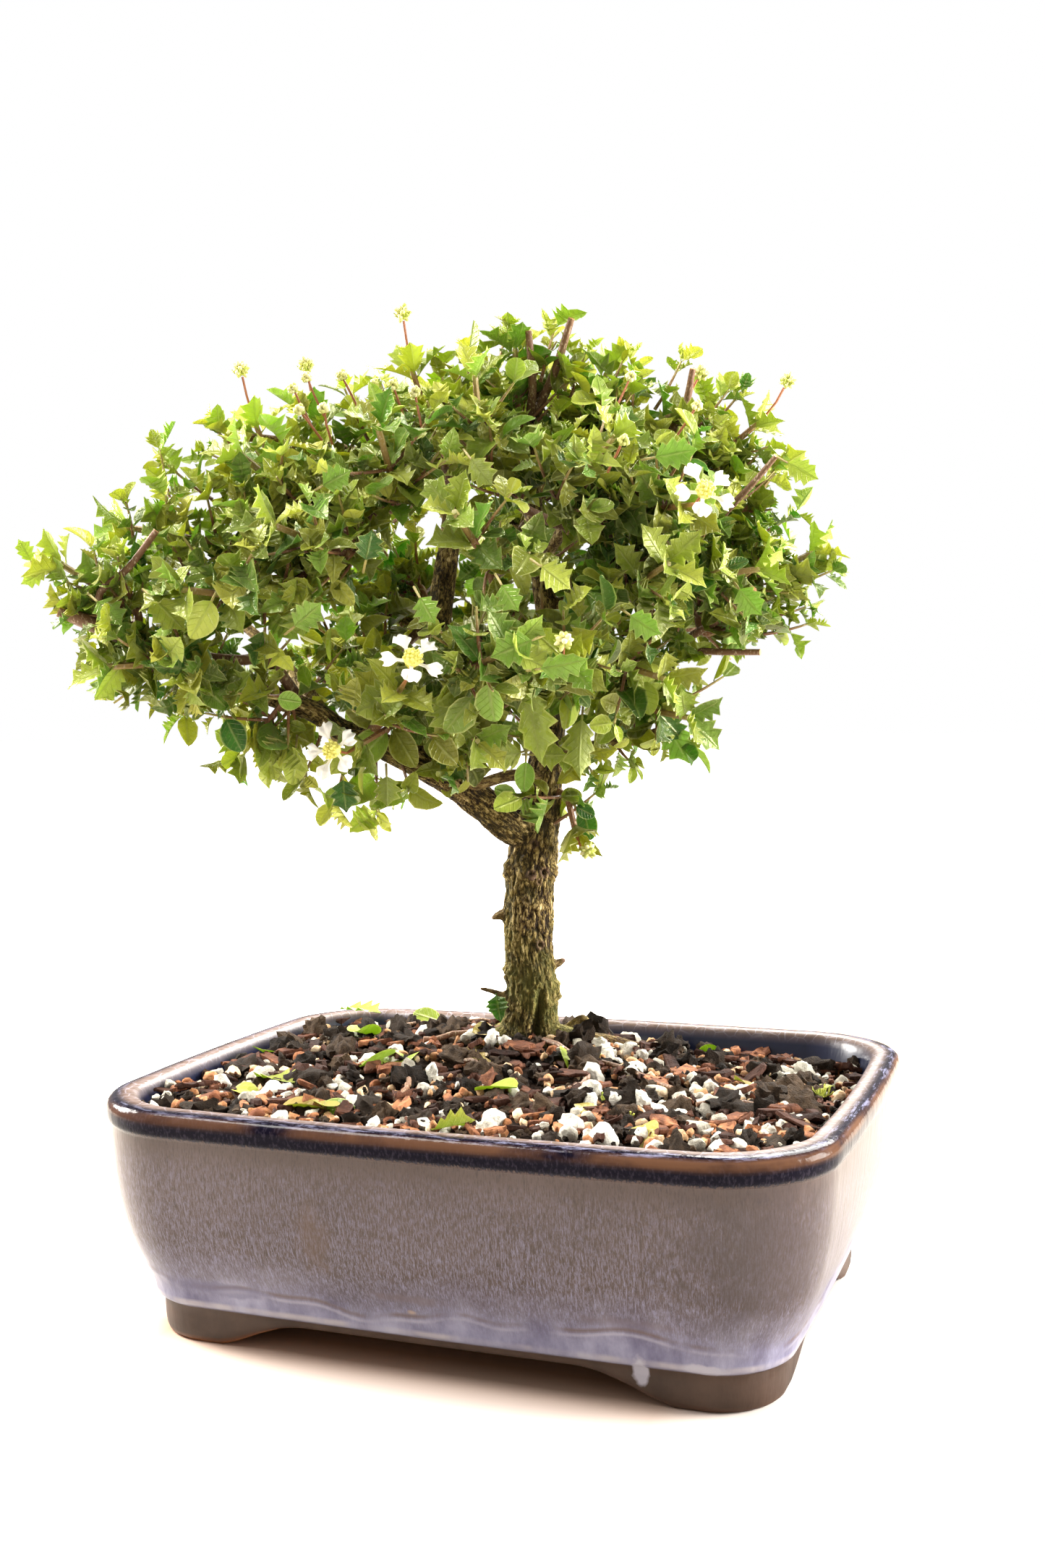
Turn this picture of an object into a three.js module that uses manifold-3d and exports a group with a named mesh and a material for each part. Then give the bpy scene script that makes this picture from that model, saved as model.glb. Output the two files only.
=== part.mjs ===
// Dwarf holly bonsai in its glazed rectangular pot. Millimetres, +Z up.
// Everything is laid out from the middle of the pot's footprint, and the last lines move the
// origin to the bottom centre of the whole plant's box.

import * as THREE from 'three';
import { mergeVertices } from 'three/addons/utils/BufferGeometryUtils.js';
import Module from 'manifold-3d';

const wasm = await Module();
wasm.setup();

// Pot, an 8 x 6 x 2.5 inch rectangle
const POT_LENGTH = 203.2;
const POT_WIDTH = 156.4;
const POT_HEIGHT = 65;
const RIM_CORNER = 27;
const CORNER_TIGHTENING = 0.7;
const SIDE_SWELL = 3;
const CORNER_STEPS = 4;
const SIDE_STEPS = 3;
const FOOT_SPREAD = 62;
const FOOT_RISE = 24;
const GAP_HEIGHT = 7.5;
const DRAIN_RADIUS = 8;
const DRAIN_SPACING = 84;

// Every fit between two pieces that touch
const SEAT = 0.3;

// Soil surface
const SOIL_LEVEL = 61;
const MOUND_RISE = 4;
const MOUND_REACH = 30;
const LOW_CORNER_DROP = 4.5;
const GRAIN = 1.3;
const WALL_GAP = 0.6;
const STONES = 9;
const STONE_SIZES = [3, 4.8];
const STONE_SHAPE = [1.2, 0.9, 0.7];
const STONE_FIELD = 0.86;
const ROOT_REACH = 15;

// Where the trunk stands in the pot, and how far its best side is turned from the pot's long side
const TRUNK_FOOT = [-15.7, 45.6];
const BEST_SIDE_TURN = THREE.MathUtils.degToRad(20.9);

// Wood
const TRUNK_SIDES = 9;
const LIMB_SIDES = 5;
const BRANCHLET_SIDES = 4;
const BRANCHLET_STEPS = 2;
const FLUTE_DEPTH = 0.16;
const FLUTED_RINGS = 6;
const BARK_UNEVENNESS = 0.05;

// Foliage
const LEAF_LENGTH = 16;
const LEAF_VARIATION = 0.12;
const YOUNG_SHARE = 0.86;
const LEAF_ARCHING = 0.12;
const BLADE = 0.7;
const KNOTS = 2;
const KNOT_SPACING = 13.5;
const FIRST_KNOT = 0.62;
const KNOT_DEPTH = 1.0;
const TWIG_RADIUS = 1.0;
const STALK_RADIUS = 0.5;
const LEAF_CLEARANCE = 1.5;
const TWIG_CLEARANCE = 0.9;
const LEAVES_ABOVE = SOIL_LEVEL + 10;
const ROUND_LEAVES_BELOW = 165;

// Steps of the two even walks that place the stones
const GOLDEN = 0.618034;
const SILVER = 0.754878;

const UP = new THREE.Vector3(0, 0, 1);

// The point so far to the right of, behind and above the trunk's foot, seen from its best side
function place(right, back, height) {
  const c = Math.cos(BEST_SIDE_TURN);
  const s = Math.sin(BEST_SIDE_TURN);
  return new THREE.Vector3(
    TRUNK_FOOT[0] + right * c - back * s,
    TRUNK_FOOT[1] + right * s + back * c,
    height,
  );
}

// A repeatable draw from 0 to 1 for any three counters.
function draw(a, b, c) {
  const wave = Math.sin(a * 12.9898 + b * 78.233 + c * 37.719) * 43758.5453;
  return wave - Math.floor(wave);
}

// The same draw, from -reach to reach
function spread(a, b, c, reach) {
  return (draw(a, b, c) * 2 - 1) * reach;
}

function mix(a, b, t) {
  return a + (b - a) * t;
}

// Geometry from a list of points and a list of triangles.
function skin(points, faces) {
  const geometry = new THREE.BufferGeometry();
  const flat = points.flatMap((p) => [p.x, p.y, p.z]);
  geometry.setAttribute('position', new THREE.Float32BufferAttribute(flat, 3));
  geometry.setIndex(faces.flat());
  return geometry;
}

function toSolid(geometry) {
  const bare = geometry.clone();
  bare.deleteAttribute('normal');
  bare.deleteAttribute('uv');
  const merged = mergeVertices(bare, 1e-4);
  return new wasm.Manifold(new wasm.Mesh({
    numProp: 3,
    vertProperties: new Float32Array(merged.attributes.position.array),
    triVerts: new Uint32Array(merged.index.array),
  }));
}

function fromSolid(solid) {
  const mesh = solid.getMesh();
  const geometry = new THREE.BufferGeometry();
  geometry.setAttribute('position', new THREE.BufferAttribute(new Float32Array(mesh.vertProperties), 3));
  geometry.setIndex(new THREE.BufferAttribute(new Uint32Array(mesh.triVerts), 1));
  return geometry;
}

function join(solids) {
  return solids.reduce((whole, next) => whole.add(next));
}

// Joins closed rings of equal length in order. The ends are capped, or `wrap` closes the last
// ring on the first.
function loft(rings, wrap = false) {
  const count = rings[0].length;
  const faces = [];
  const bands = wrap ? rings.length : rings.length - 1;
  for (let r = 0; r < bands; r++) {
    const low = r * count;
    const high = ((r + 1) % rings.length) * count;
    for (let i = 0; i < count; i++) {
      const j = (i + 1) % count;
      faces.push([low + i, low + j, high + j], [low + i, high + j, high + i]);
    }
  }
  if (!wrap) {
    const last = (rings.length - 1) * count;
    for (let i = 1; i < count - 1; i++) {
      faces.push([0, i + 1, i], [last, last + i, last + i + 1]);
    }
  }
  return skin(rings.flat(), faces);
}

// The pot's outline at one height: a rounded rectangle with swelling sides, `inset` in from the rim.
function potRing(inset, z) {
  const swell = SIDE_SWELL * mix(0.2, 1, z / POT_HEIGHT);
  const halfX = POT_LENGTH / 2 - inset - swell;
  const halfY = POT_WIDTH / 2 - inset - swell;
  const radius = RIM_CORNER - CORNER_TIGHTENING * inset;
  const bare = [];
  for (let corner = 0; corner < 4; corner++) {
    const signX = corner === 0 || corner === 3 ? 1 : -1;
    const signY = corner < 2 ? 1 : -1;
    for (let i = 0; i <= CORNER_STEPS; i++) {
      const angle = (corner + i / CORNER_STEPS) * Math.PI / 2;
      bare.push([
        signX * (halfX - radius) + radius * Math.cos(angle),
        signY * (halfY - radius) + radius * Math.sin(angle),
      ]);
    }
  }
  const outline = [];
  for (let i = 0; i < bare.length; i++) {
    outline.push(bare[i]);
    const next = bare[(i + 1) % bare.length];
    if (i % (CORNER_STEPS + 1) === CORNER_STEPS) {
      for (let k = 1; k < SIDE_STEPS; k++) {
        const t = k / SIDE_STEPS;
        outline.push([mix(bare[i][0], next[0], t), mix(bare[i][1], next[1], t)]);
      }
    }
  }
  return outline.map(([x, y]) => new THREE.Vector3(
    x * (1 + (swell / halfX) * (1 - (y / halfY) ** 2)),
    y * (1 + (swell / halfY) * (1 - (x / halfX) ** 2)),
    z,
  ));
}

// [drawn in from the rim's edge, height] up the outside, over the lip and down the inside
const POT_PROFILE = [
  [17.5, 8.5],
  [14.4, 9.2],
  [12.6, 11.4],
  [11.0, 18.0],
  [4.9, 32.4],
  [2.3, 46.0],
  [1.1, 58.0],
  [0.3, 59.2],
  [0.0, 62.6],
  [1.6, 64.8],
  [6.6, 65.0],
  [8.6, 61.6],
  [13.4, 22.0],
  [18.5, 15.0],
];

// [drawn in, height] round the section of the ring that the feet are cut from
const FOOT_PROFILE = [
  [16.7, 0],
  [15.5, 1.4],
  [14.7, 10.2],
  [25.0, 10.2],
  [25.0, 0],
];

// Half of the arch between two feet, from the flat of the foot to the level ceiling, as shares
// of FOOT_RISE and GAP_HEIGHT.
const ARCH = [[0, 0], [0.22, 0.22], [0.5, 0.6], [0.78, 0.9], [1, 1]];

function archPrism(halfSpan, reach) {
  const side = ARCH.map(([along, up]) => [halfSpan - FOOT_RISE * along, GAP_HEIGHT * up]);
  const shape = new THREE.Shape();
  shape.moveTo(halfSpan, -2);
  side.forEach(([x, z]) => shape.lineTo(x, z));
  side.toReversed().forEach(([x, z]) => shape.lineTo(-x, z));
  shape.lineTo(-halfSpan, -2);
  shape.closePath();
  const prism = new THREE.ExtrudeGeometry(shape, { depth: 2 * reach, bevelEnabled: false });
  prism.rotateX(Math.PI / 2);
  prism.translate(0, reach, 0);
  return prism;
}

function pot() {
  const bowl = toSolid(loft(POT_PROFILE.map(([inset, z]) => potRing(inset, z))));
  const shortSpan = FOOT_SPREAD - (POT_LENGTH - POT_WIDTH) / 2;
  const acrossGap = toSolid(archPrism(FOOT_SPREAD, POT_WIDTH));
  const endGap = toSolid(archPrism(shortSpan, POT_LENGTH).rotateZ(Math.PI / 2));
  const feet = toSolid(loft(FOOT_PROFILE.map(([inset, z]) => potRing(inset, z)), true))
    .subtract(acrossGap)
    .subtract(endGap);
  const drains = [-0.5, 0.5].map((side) => {
    const drill = new THREE.CylinderGeometry(DRAIN_RADIUS, DRAIN_RADIUS, 20, 8);
    drill.rotateX(Math.PI / 2);
    drill.translate(side * DRAIN_SPACING, 0, 12);
    return toSolid(drill);
  });
  return fromSolid(bowl.add(feet).subtract(drains[0]).subtract(drains[1]));
}

// How far in from the rim's edge the inner wall stands at a height, from the profile's last three
// points
function innerInset(z) {
  const inside = POT_PROFILE.slice(-3);
  for (let i = 0; i < inside.length - 1; i++) {
    const [insetHigh, high] = inside[i];
    const [insetLow, low] = inside[i + 1];
    if (z >= low) {
      return mix(insetLow, insetHigh, Math.min(1, (z - low) / (high - low)));
    }
  }
  return inside.at(-1)[0];
}

function soilHeight(x, y) {
  const distance = Math.hypot(x - TRUNK_FOOT[0], y - TRUNK_FOOT[1]);
  const mound = MOUND_RISE * Math.exp(-((distance / MOUND_REACH) ** 2));
  const toCorner = THREE.MathUtils.smoothstep(x / POT_LENGTH + y / POT_WIDTH, 0.2, 0.8);
  return SOIL_LEVEL + mound - LOW_CORNER_DROP * toCorner;
}

// Stones lie on the soil by a low-discrepancy walk round the rim and in towards its middle.
function stone(index, rim) {
  const corner = rim[Math.floor((index * GOLDEN % 1) * rim.length)];
  const share = STONE_FIELD * Math.sqrt(index * SILVER % 1);
  const x = corner.x * share;
  const y = corner.y * share;
  const size = mix(...STONE_SIZES, draw(index, 1, 5));
  const lump = new THREE.IcosahedronGeometry(size, 0);
  lump.scale(...STONE_SHAPE);
  lump.rotateX(spread(index, 2, 5, 0.5));
  lump.rotateZ(draw(index, 3, 5) * Math.PI);
  lump.translate(x, y, soilHeight(x, y) + size * 0.35);
  return { lump, x, y, size };
}

// Heights of the soil's buried rings, and shares of its outline that the rings on top keep
const SOIL_DEPTHS = [15.4, 22];
const SOIL_SHARES = [0.88, 0.75, 0.62, 0.48, 0.32];

function soil(standing) {
  const rim = potRing(innerInset(SOIL_LEVEL) + WALL_GAP, SOIL_LEVEL);
  const walls = SOIL_DEPTHS.map((z) => potRing(innerInset(z) + WALL_GAP, z));
  const edge = rim.map((p, i) => {
    const z = soilHeight(p.x, p.y) - draw(i, 0, 3);
    return potRing(innerInset(z) + WALL_GAP, z)[i];
  });
  const tops = SOIL_SHARES.map((share, ring) => rim.map((p, i) => {
    const x = p.x * share;
    const y = p.y * share;
    return new THREE.Vector3(x, y, soilHeight(x, y) + spread(i, ring, 3, GRAIN));
  }));
  const block = toSolid(loft([...walls, edge, ...tops]));
  const stones = [];
  for (let i = 1; i <= STONES; i++) {
    const { lump, x, y, size } = stone(i, rim);
    const fromTrunk = Math.hypot(x - TRUNK_FOOT[0], y - TRUNK_FOOT[1]);
    if (fromTrunk > ROOT_REACH + size) {
      stones.push(toSolid(lump));
    }
  }
  return fromSolid(join([block, ...stones]).subtract(standing));
}

// A path of wood is a list of [right, back, height, radius], measured from the trunk's foot.
const TRUNK = [
  [1.6, 0, 40, 6],
  [1.8, 0, 56, 9.2],
  [2.2, 0, 64.5, 9.7],
  [2.3, 0, 69, 8.9],
  [2.5, 0, 76, 8.3],
  [2.7, 0, 84, 7.9],
  [1.9, 0, 95, 8.0],
  [2.4, 0, 107, 8.0],
  [3.1, 0, 118, 7.9],
  [4.9, 0, 129, 7.6],
  [6.7, 0, 139, 6.3],
  [8.5, 0, 151, 5.6],
  [10.2, 0, 163, 4.6],
  [10.8, 0, 185, 3.9],
  [8.2, 0, 207, 3.5],
  [5.7, 0, 229, 3.1],
  [6.0, 0, 250, 2.6],
  [8.3, 0, 268, 2.0],
];
const LIMBS = {
  leftBranch: [
    [5, 0, 126, 4.5],
    [-3, -4, 131, 5.8],
    [-13, -8, 139.5, 5.4],
    [-24.5, -14, 148, 4.8],
    [-41.5, -20, 157, 4.1],
    [-53, -24, 161.5, 3.8],
    [-60, -26, 167, 3.5],
    [-73, -30, 172.5, 3.3],
    [-83, -34, 177, 3.0],
    [-93, -38, 181, 2.6],
    [-110, -43, 188.5, 2.1],
    [-126, -49, 196.5, 1.7],
  ],
  secondLeader: [
    [-30, -16, 150, 3.6],
    [-28, -13, 164, 4.3],
    [-25.5, -8, 181, 4.2],
    [-22.5, -2, 206, 3.9],
    [-19.5, 2, 228, 3.2],
    [-20, -1, 244, 2.4],
    [-23, -3, 256, 1.8],
  ],
  arch: [
    [-20, 0, 226, 2.4],
    [-24, -4, 233, 2.6],
    [-31, -9, 235, 2.4],
    [-38, -20, 229, 2.2],
    [-45, -30, 222, 1.9],
    [-48, -38, 214.5, 1.6],
  ],
  topLeft: [
    [-20, 1, 232, 2.2],
    [-34, 2, 242, 2.3],
    [-50, -4, 247, 2.0],
    [-68, -12, 249, 1.7],
    [-84, -18, 250, 1.4],
  ],
  rightLow: [
    [9, 0, 152, 2.2],
    [17, -1, 153.5, 2.2],
    [28, -4, 156, 2.0],
    [38.5, -8, 157.5, 1.8],
    [45, -10, 161, 1.5],
  ],
  rightMiddle: [
    [9.5, 0, 196, 2.4],
    [22, -3, 203, 2.5],
    [40, -7, 208, 2.2],
    [54, -8, 209, 1.9],
    [66, -9, 207, 1.5],
  ],
  rightHigh: [
    [6, 0, 238, 2.0],
    [14, -6, 245, 2.1],
    [27, -10, 250, 1.9],
    [42, -5, 252, 1.7],
    [58, 0, 252, 1.4],
  ],
  front: [
    [10.5, -1, 170, 2.4],
    [7, -14, 176, 2.6],
    [1, -32, 183, 2.2],
    [-5, -48, 187, 1.8],
    [-9, -60, 189, 1.4],
  ],
  frontHigh: [
    [7.5, 0, 212, 2.2],
    [14, -14, 220, 2.2],
    [22, -30, 224, 1.8],
    [30, -44, 225, 1.4],
  ],
  backLeft: [
    [10.3, 0, 163, 2.6],
    [-4, 15, 177, 2.8],
    [-22, 30, 189, 2.5],
    [-42, 38, 199, 2.1],
    [-60, 36, 207, 1.6],
  ],
  backRight: [
    [9, 0, 188, 2.4],
    [22, 16, 199, 2.6],
    [38, 30, 210, 2.2],
    [54, 38, 218, 1.8],
    [66, 38, 224, 1.4],
  ],
  back: [
    [8, 0, 208, 2.2],
    [4, 16, 220, 2.3],
    [-2, 32, 228, 1.9],
    [-8, 44, 234, 1.4],
  ],
  farLeft: [
    [-56, -25, 164, 2.2],
    [-66, -12, 176, 2.3],
    [-80, 0, 190, 1.9],
    [-92, 6, 200, 1.5],
  ],
};

// Roots that show on the soil, and the short stubs of lost twigs on the trunk
const ROOTS = [
  [[3, 0, 62, 6], [9, -3, 64.6, 4.4], [17, -6, 64.4, 2.8], [27, -7, 63.6, 1.9], [36, -6, 61.5, 1.2]],
  [[-3, -2, 62, 6], [-8, -4, 64.0, 4.0], [-14, -7, 62.5, 2.4], [-19, -9, 60, 1.5]],
  [[2, 2, 62, 6], [6, 8, 64.2, 4.0], [9, 13, 62.5, 2.2], [11, 17, 60, 1.4]],
  [[-2, 2, 62, 6], [-7, 8, 63.8, 3.8], [-11, 14, 61.5, 2.0]],
];
const STUBS = [
  [[0, -1, 101, 1.6], [-8.3, -1.5, 103, 1.1], [-10.0, -1.6, 104, 0.8]],
  [[4, -1, 84, 1.6], [11.5, -1.5, 87.5, 1.3], [13.4, -1.7, 88.5, 0.8]],
  [[3, -3, 114, 2.0], [3.6, -9.2, 114.6, 2.1]],
  [[-2, -2, 76, 1.2], [-9.5, -3, 79, 0.9], [-13.5, -4, 80.2, 0.6]],
];

function pathPoints(path) {
  return path.map(([right, back, height]) => place(right, back, height));
}

// Rings square to a path, each turned as little as possible from the one before. `ends` may
// give the directions that the first and the last ring face.
function limbRings(points, radii, sides, ends = [null, null], flute = () => 1) {
  const rings = [];
  let across = null;
  for (let i = 0; i < points.length; i++) {
    const before = points[Math.max(0, i - 1)];
    const after = points[Math.min(points.length - 1, i + 1)];
    const set = i === 0 ? ends[0] : i === points.length - 1 ? ends[1] : null;
    const along = set ?? after.clone().sub(before).normalize();
    if (across === null) {
      across = Math.abs(along.z) > 0.9 ? new THREE.Vector3(1, 0, 0) : UP.clone();
    }
    across = across.clone().addScaledVector(along, -across.dot(along)).normalize();
    const beside = along.clone().cross(across);
    const ring = [];
    for (let k = 0; k < sides; k++) {
      const angle = k / sides * Math.PI * 2;
      const radius = radii[i] * flute(angle, i);
      ring.push(points[i].clone()
        .addScaledVector(across, radius * Math.cos(angle))
        .addScaledVector(beside, radius * Math.sin(angle)));
    }
    rings.push(ring);
  }
  return rings;
}

function limb(path, sides, swelling = 0, flute) {
  const radii = path.map((entry) => entry[3] + swelling);
  return loft(limbRings(pathPoints(path), radii, sides, [null, null], flute));
}

// The trunk is fluted, most at its foot, and a little uneven all the way up.
function trunkFlute(angle, ring) {
  const foot = Math.max(0, 1 - ring / FLUTED_RINGS);
  const lobes = FLUTE_DEPTH * foot * Math.cos(3 * angle + 0.8);
  return 1 + lobes + spread(ring, Math.round(angle * TRUNK_SIDES), 2, BARK_UNEVENNESS);
}

// Sprays: [right, back, height] of the middle of each leafy stem, its knots of leaves if not the
// usual number, the way it grows if not away from the crown's heart, and what its tip bears.
// They run round the crown's outline from the left tip, then over its front and its back.
const SPRAYS = [
  { at: [-118, -46, 203], reach: [-0.85, -0.05, 0.5] },
  { at: [-103, -53, 181], reach: [-0.75, -0.3, -0.1] },
  { at: [-101, -34, 219] },
  { at: [-71, -22, 239], bears: 'bud' },
  { at: [-54, -14, 241], bears: 'bud' },
  { at: [-26, -12, 256], bears: 'bud', reach: [-0.2, -0.3, 0.9] },
  { at: [1, -4, 264], reach: [-0.1, -0.2, 1] },
  { at: [24, 0, 258] },
  { at: [37, -11, 247], bears: 'bud', reach: [0.65, 0, 0.45] },
  { at: [65, 0, 245], bears: 'bud' },
  { at: [73, 0, 229] },
  { at: [80, -8, 208], reach: [0.9, 0, 0.35] },
  { at: [68, -14, 194] },
  { at: [43, -22, 165], reach: [0.5, -0.8, -0.2] },
  { at: [16, -7, 134], knots: 1, bears: 'bud', reach: [0.2, -0.3, -0.85] },
  { at: [-16, -30, 161], reach: [0.2, -0.8, -0.3] },
  { at: [-38.5, -35, 161.5], bears: 'bloom', reach: [-0.4, -0.7, -0.35] },
  { at: [-74, -34, 163], reach: [-0.5, 0.1, -0.6] },
  { at: [-82, -58, 200] },
  { at: [-56, -60, 214] },
  { at: [-68, -44, 232] },
  { at: [-34, -56, 168.5], bears: 'bloom', reach: [0.3, -0.9, 0.25] },
  { at: [-36, -46, 237] },
  { at: [-8, -70, 180] },
  { at: [-12, -60, 214] },
  { at: [-10, -36, 250] },
  { at: [13.5, -60, 181.5], bears: 'bud', reach: [0, -0.9, -0.15] },
  { at: [20, -48, 234] },
  { at: [37, -50, 203] },
  { at: [43, -46, 223], bears: 'bloom', reach: [0.25, -0.9, -0.15] },
  { at: [34, -32, 178] },
  { at: [59, -32, 205] },
  { at: [-70, 22, 222] },
  { at: [-62, 24, 190] },
  { at: [-40, 42, 212] },
  { at: [-28, 26, 170] },
  { at: [-8, 42, 196] },
  { at: [0, 40, 226] },
  { at: [12, 26, 252] },
  { at: [28, 46, 206] },
  { at: [38, 34, 236] },
  { at: [32, 22, 176] },
  { at: [66, 26, 203] },
];

// The middle of the crown, which stems grow away from, each with some rise and some lean
const HEART = [-12, -6, 180];
const RISING = 0.2;
const LEANING = 0.55;

// The branchlets' forks: how many rings of the trunk bear none, and what a turn costs beside reach
const BARE_TRUNK = 10;
const TURN_COST = 0.5;
const SHORTEST_BRANCHLET = 5;

// Lengths of wood with their ends, radius and owner, and spots all over the leaves placed so far
const rods = [];
const spots = new Map();

function spotKey(point) {
  const cell = LEAF_CLEARANCE;
  return [point.x, point.y, point.z].map((v) => Math.floor(v / cell));
}

function isNearSpot(point) {
  const [i, j, k] = spotKey(point);
  for (let a = i - 1; a <= i + 1; a++) {
    for (let b = j - 1; b <= j + 1; b++) {
      for (let c = k - 1; c <= k + 1; c++) {
        const found = spots.get(`${a},${b},${c}`) ?? [];
        if (found.some((spot) => spot.distanceTo(point) < LEAF_CLEARANCE)) {
          return true;
        }
      }
    }
  }
  return false;
}

function addSpot(point) {
  const key = spotKey(point).join(',');
  spots.set(key, [...(spots.get(key) ?? []), point]);
}

function isNearRod(point, owner) {
  const nearest = new THREE.Vector3();
  const line = new THREE.Line3();
  return rods.some((rod) => {
    if (rod.owner === owner) {
      return false;
    }
    line.set(rod.start, rod.end);
    line.closestPointToPoint(point, true, nearest);
    return nearest.distanceTo(point) < rod.radius + TWIG_CLEARANCE;
  });
}

function addRods(points, radii, owner) {
  for (let i = 0; i < points.length - 1; i++) {
    rods.push({
      start: points[i],
      end: points[i + 1],
      radius: Math.max(radii[i], radii[i + 1]),
      owner,
    });
  }
}

// The direction and the ends of one leafy stem
function stemOf(spray, index) {
  const [right, back, height] = spray.at;
  const middle = place(right, back, height);
  const heart = place(...HEART);
  let along;
  if (spray.reach) {
    const tip = place(right + spray.reach[0], back + spray.reach[1], height + spray.reach[2]);
    along = tip.sub(middle).normalize();
  } else {
    const away = middle.clone().sub(heart).normalize();
    const lean = away.clone().cross(UP).applyAxisAngle(away, draw(index, 3, 9) * 2 * Math.PI);
    along = away.addScaledVector(lean, LEANING).addScaledVector(UP, RISING).normalize();
  }
  const length = ((spray.knots ?? KNOTS) - 1 + FIRST_KNOT) * KNOT_SPACING;
  const start = middle.clone().addScaledVector(along, -length / 2);
  return { start, along, length };
}

// The place on the wood from which a branchlet reaches a stem with the least length and turning
function forkFor(start, along) {
  let best = null;
  for (const path of [TRUNK.slice(BARE_TRUNK), ...Object.values(LIMBS)]) {
    const points = pathPoints(path);
    for (let i = 1; i < points.length; i++) {
      for (let k = 0; k < 4; k++) {
        const t = k / 4;
        const spot = points[i - 1].clone().lerp(points[i], t);
        const radius = mix(path[i - 1][3], path[i][3], t);
        const way = start.clone().sub(spot);
        const reach = way.length();
        const turn = 1 - way.dot(along) / Math.max(reach, 1);
        const cost = reach * (1 + TURN_COST * turn);
        if (reach > SHORTEST_BRANCHLET && (best === null || cost < best.cost)) {
          best = { cost, spot, radius };
        }
      }
    }
  }
  return best;
}

function branchletPath(start, along) {
  const fork = forkFor(start, along);
  const end = start.clone().addScaledVector(along, -SEAT);
  const reach = end.distanceTo(fork.spot);
  const bend = end.clone().addScaledVector(along, -0.4 * reach);
  const curve = new THREE.QuadraticBezierCurve3(fork.spot, bend, end);
  const points = curve.getPoints(BRANCHLET_STEPS);
  const thick = Math.min(fork.radius * 0.8, 1.3 + reach * 0.02);
  const radii = points.map((_, i) => mix(thick, TWIG_RADIUS * 1.1, i / BRANCHLET_STEPS));
  return { points, radii, ends: [null, along] };
}

// A blade as shares of its length: [along, half-width, lift] of the notches, which are thick,
// and of the spines between them, which run out to points.
const HOLLY = {
  notches: [[0.5, 0.2, 0], [0.78, 0.13, 0]],
  spines: [[0.36, 0.4, 0.1], [0.7, 0.35, 0.07]],
  tip: 1,
};
const ROUND = {
  notches: [[0.48, 0.34, 0.02], [0.82, 0.25, 0]],
  spines: [[0.26, 0.24, 0.03], [0.66, 0.34, 0.02]],
  tip: 0.95,
};

// Gives the points of a leaf: `facet` holds the middle of the twig's side that it grows from, that
// side's outward direction and the twig's own.
function leafPlacer({ root, outward, axis }, tilt, roll, length) {
  const along = outward.clone().multiplyScalar(Math.sin(tilt)).addScaledVector(axis, Math.cos(tilt));
  const normal = axis.clone().multiplyScalar(Math.sin(tilt)).addScaledVector(outward, -Math.cos(tilt));
  normal.applyAxisAngle(along, roll);
  const across = along.clone().cross(normal);
  return (share, half, lift, rise = 0) => root.clone()
    .addScaledVector(along, share * length)
    .addScaledVector(across, half * length)
    .addScaledVector(normal, (lift - LEAF_ARCHING * share * share) * length + rise);
}

// Samples over a blade, past its root
function leafSamples({ at, form }) {
  const samples = [];
  for (let share = 0.25; share < form.tip; share += 0.09) {
    samples.push(at(share, 0, 0));
  }
  for (const [along, half, lift] of [...form.notches, ...form.spines]) {
    for (const side of [-1, 1]) {
      for (const part of [0.35, 0.7, 1]) {
        samples.push(at(along, side * half * part, lift * part));
      }
    }
  }
  samples.push(at(form.tip, 0, 0));
  return samples;
}

// Adds a blade to a stem's skin. It grows out of an open facet, given by its left and its right
// edge, each with an upper and a lower point.
function addLeaf(points, faces, edges, { at, form }) {
  const add = (point) => points.push(point) - 1;
  const tip = add(at(form.tip, 0, -0.02));
  const [left, right] = [-1, 1].map((side, i) => ({
    thick: [edges[i], ...form.notches.map(([along, half, lift]) => ({
      upper: add(at(along, side * half, lift, BLADE / 2)),
      lower: add(at(along, side * half, lift, -BLADE / 2)),
    }))],
    sharp: [...form.spines.map(([along, half, lift]) => add(at(along, side * half, lift))), tip],
  }));
  const onBothFaces = (a, b, c) => faces.push(
    [a.upper ?? a, b.upper ?? b, c.upper ?? c],
    [a.lower ?? a, c.lower ?? c, b.lower ?? b],
  );
  for (let i = 0; i < left.thick.length - 1; i++) {
    onBothFaces(left.thick[i], right.thick[i], right.thick[i + 1]);
    onBothFaces(left.thick[i], right.thick[i + 1], left.thick[i + 1]);
    onBothFaces(right.thick[i], right.sharp[i], right.thick[i + 1]);
    onBothFaces(left.thick[i], left.thick[i + 1], left.sharp[i]);
  }
  onBothFaces(left.thick.at(-1), right.thick.at(-1), tip);
  for (let i = 0; i < left.thick.length; i++) {
    faces.push([right.thick[i].lower, right.sharp[i], right.thick[i].upper]);
    faces.push([left.thick[i].upper, left.sharp[i], left.thick[i].lower]);
    if (i > 0) {
      faces.push([right.sharp[i - 1], right.thick[i].lower, right.thick[i].upper]);
      faces.push([left.sharp[i - 1], left.thick[i].upper, left.thick[i].lower]);
    }
  }
}

// A leaf's tilt from its twig, for the lower and the upper pair of a knot, and the turns
// [of the tilt, about its own length] that it tries in order until it stands clear
const TILTS = [1.15, 0.62];
const YOUNG_TILT = 0.8;
const VARIANTS = [[0, 0], [-0.2, 0.2], [0.22, -0.2], [0.12, 0.3], [-0.32, -0.3]];

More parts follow.
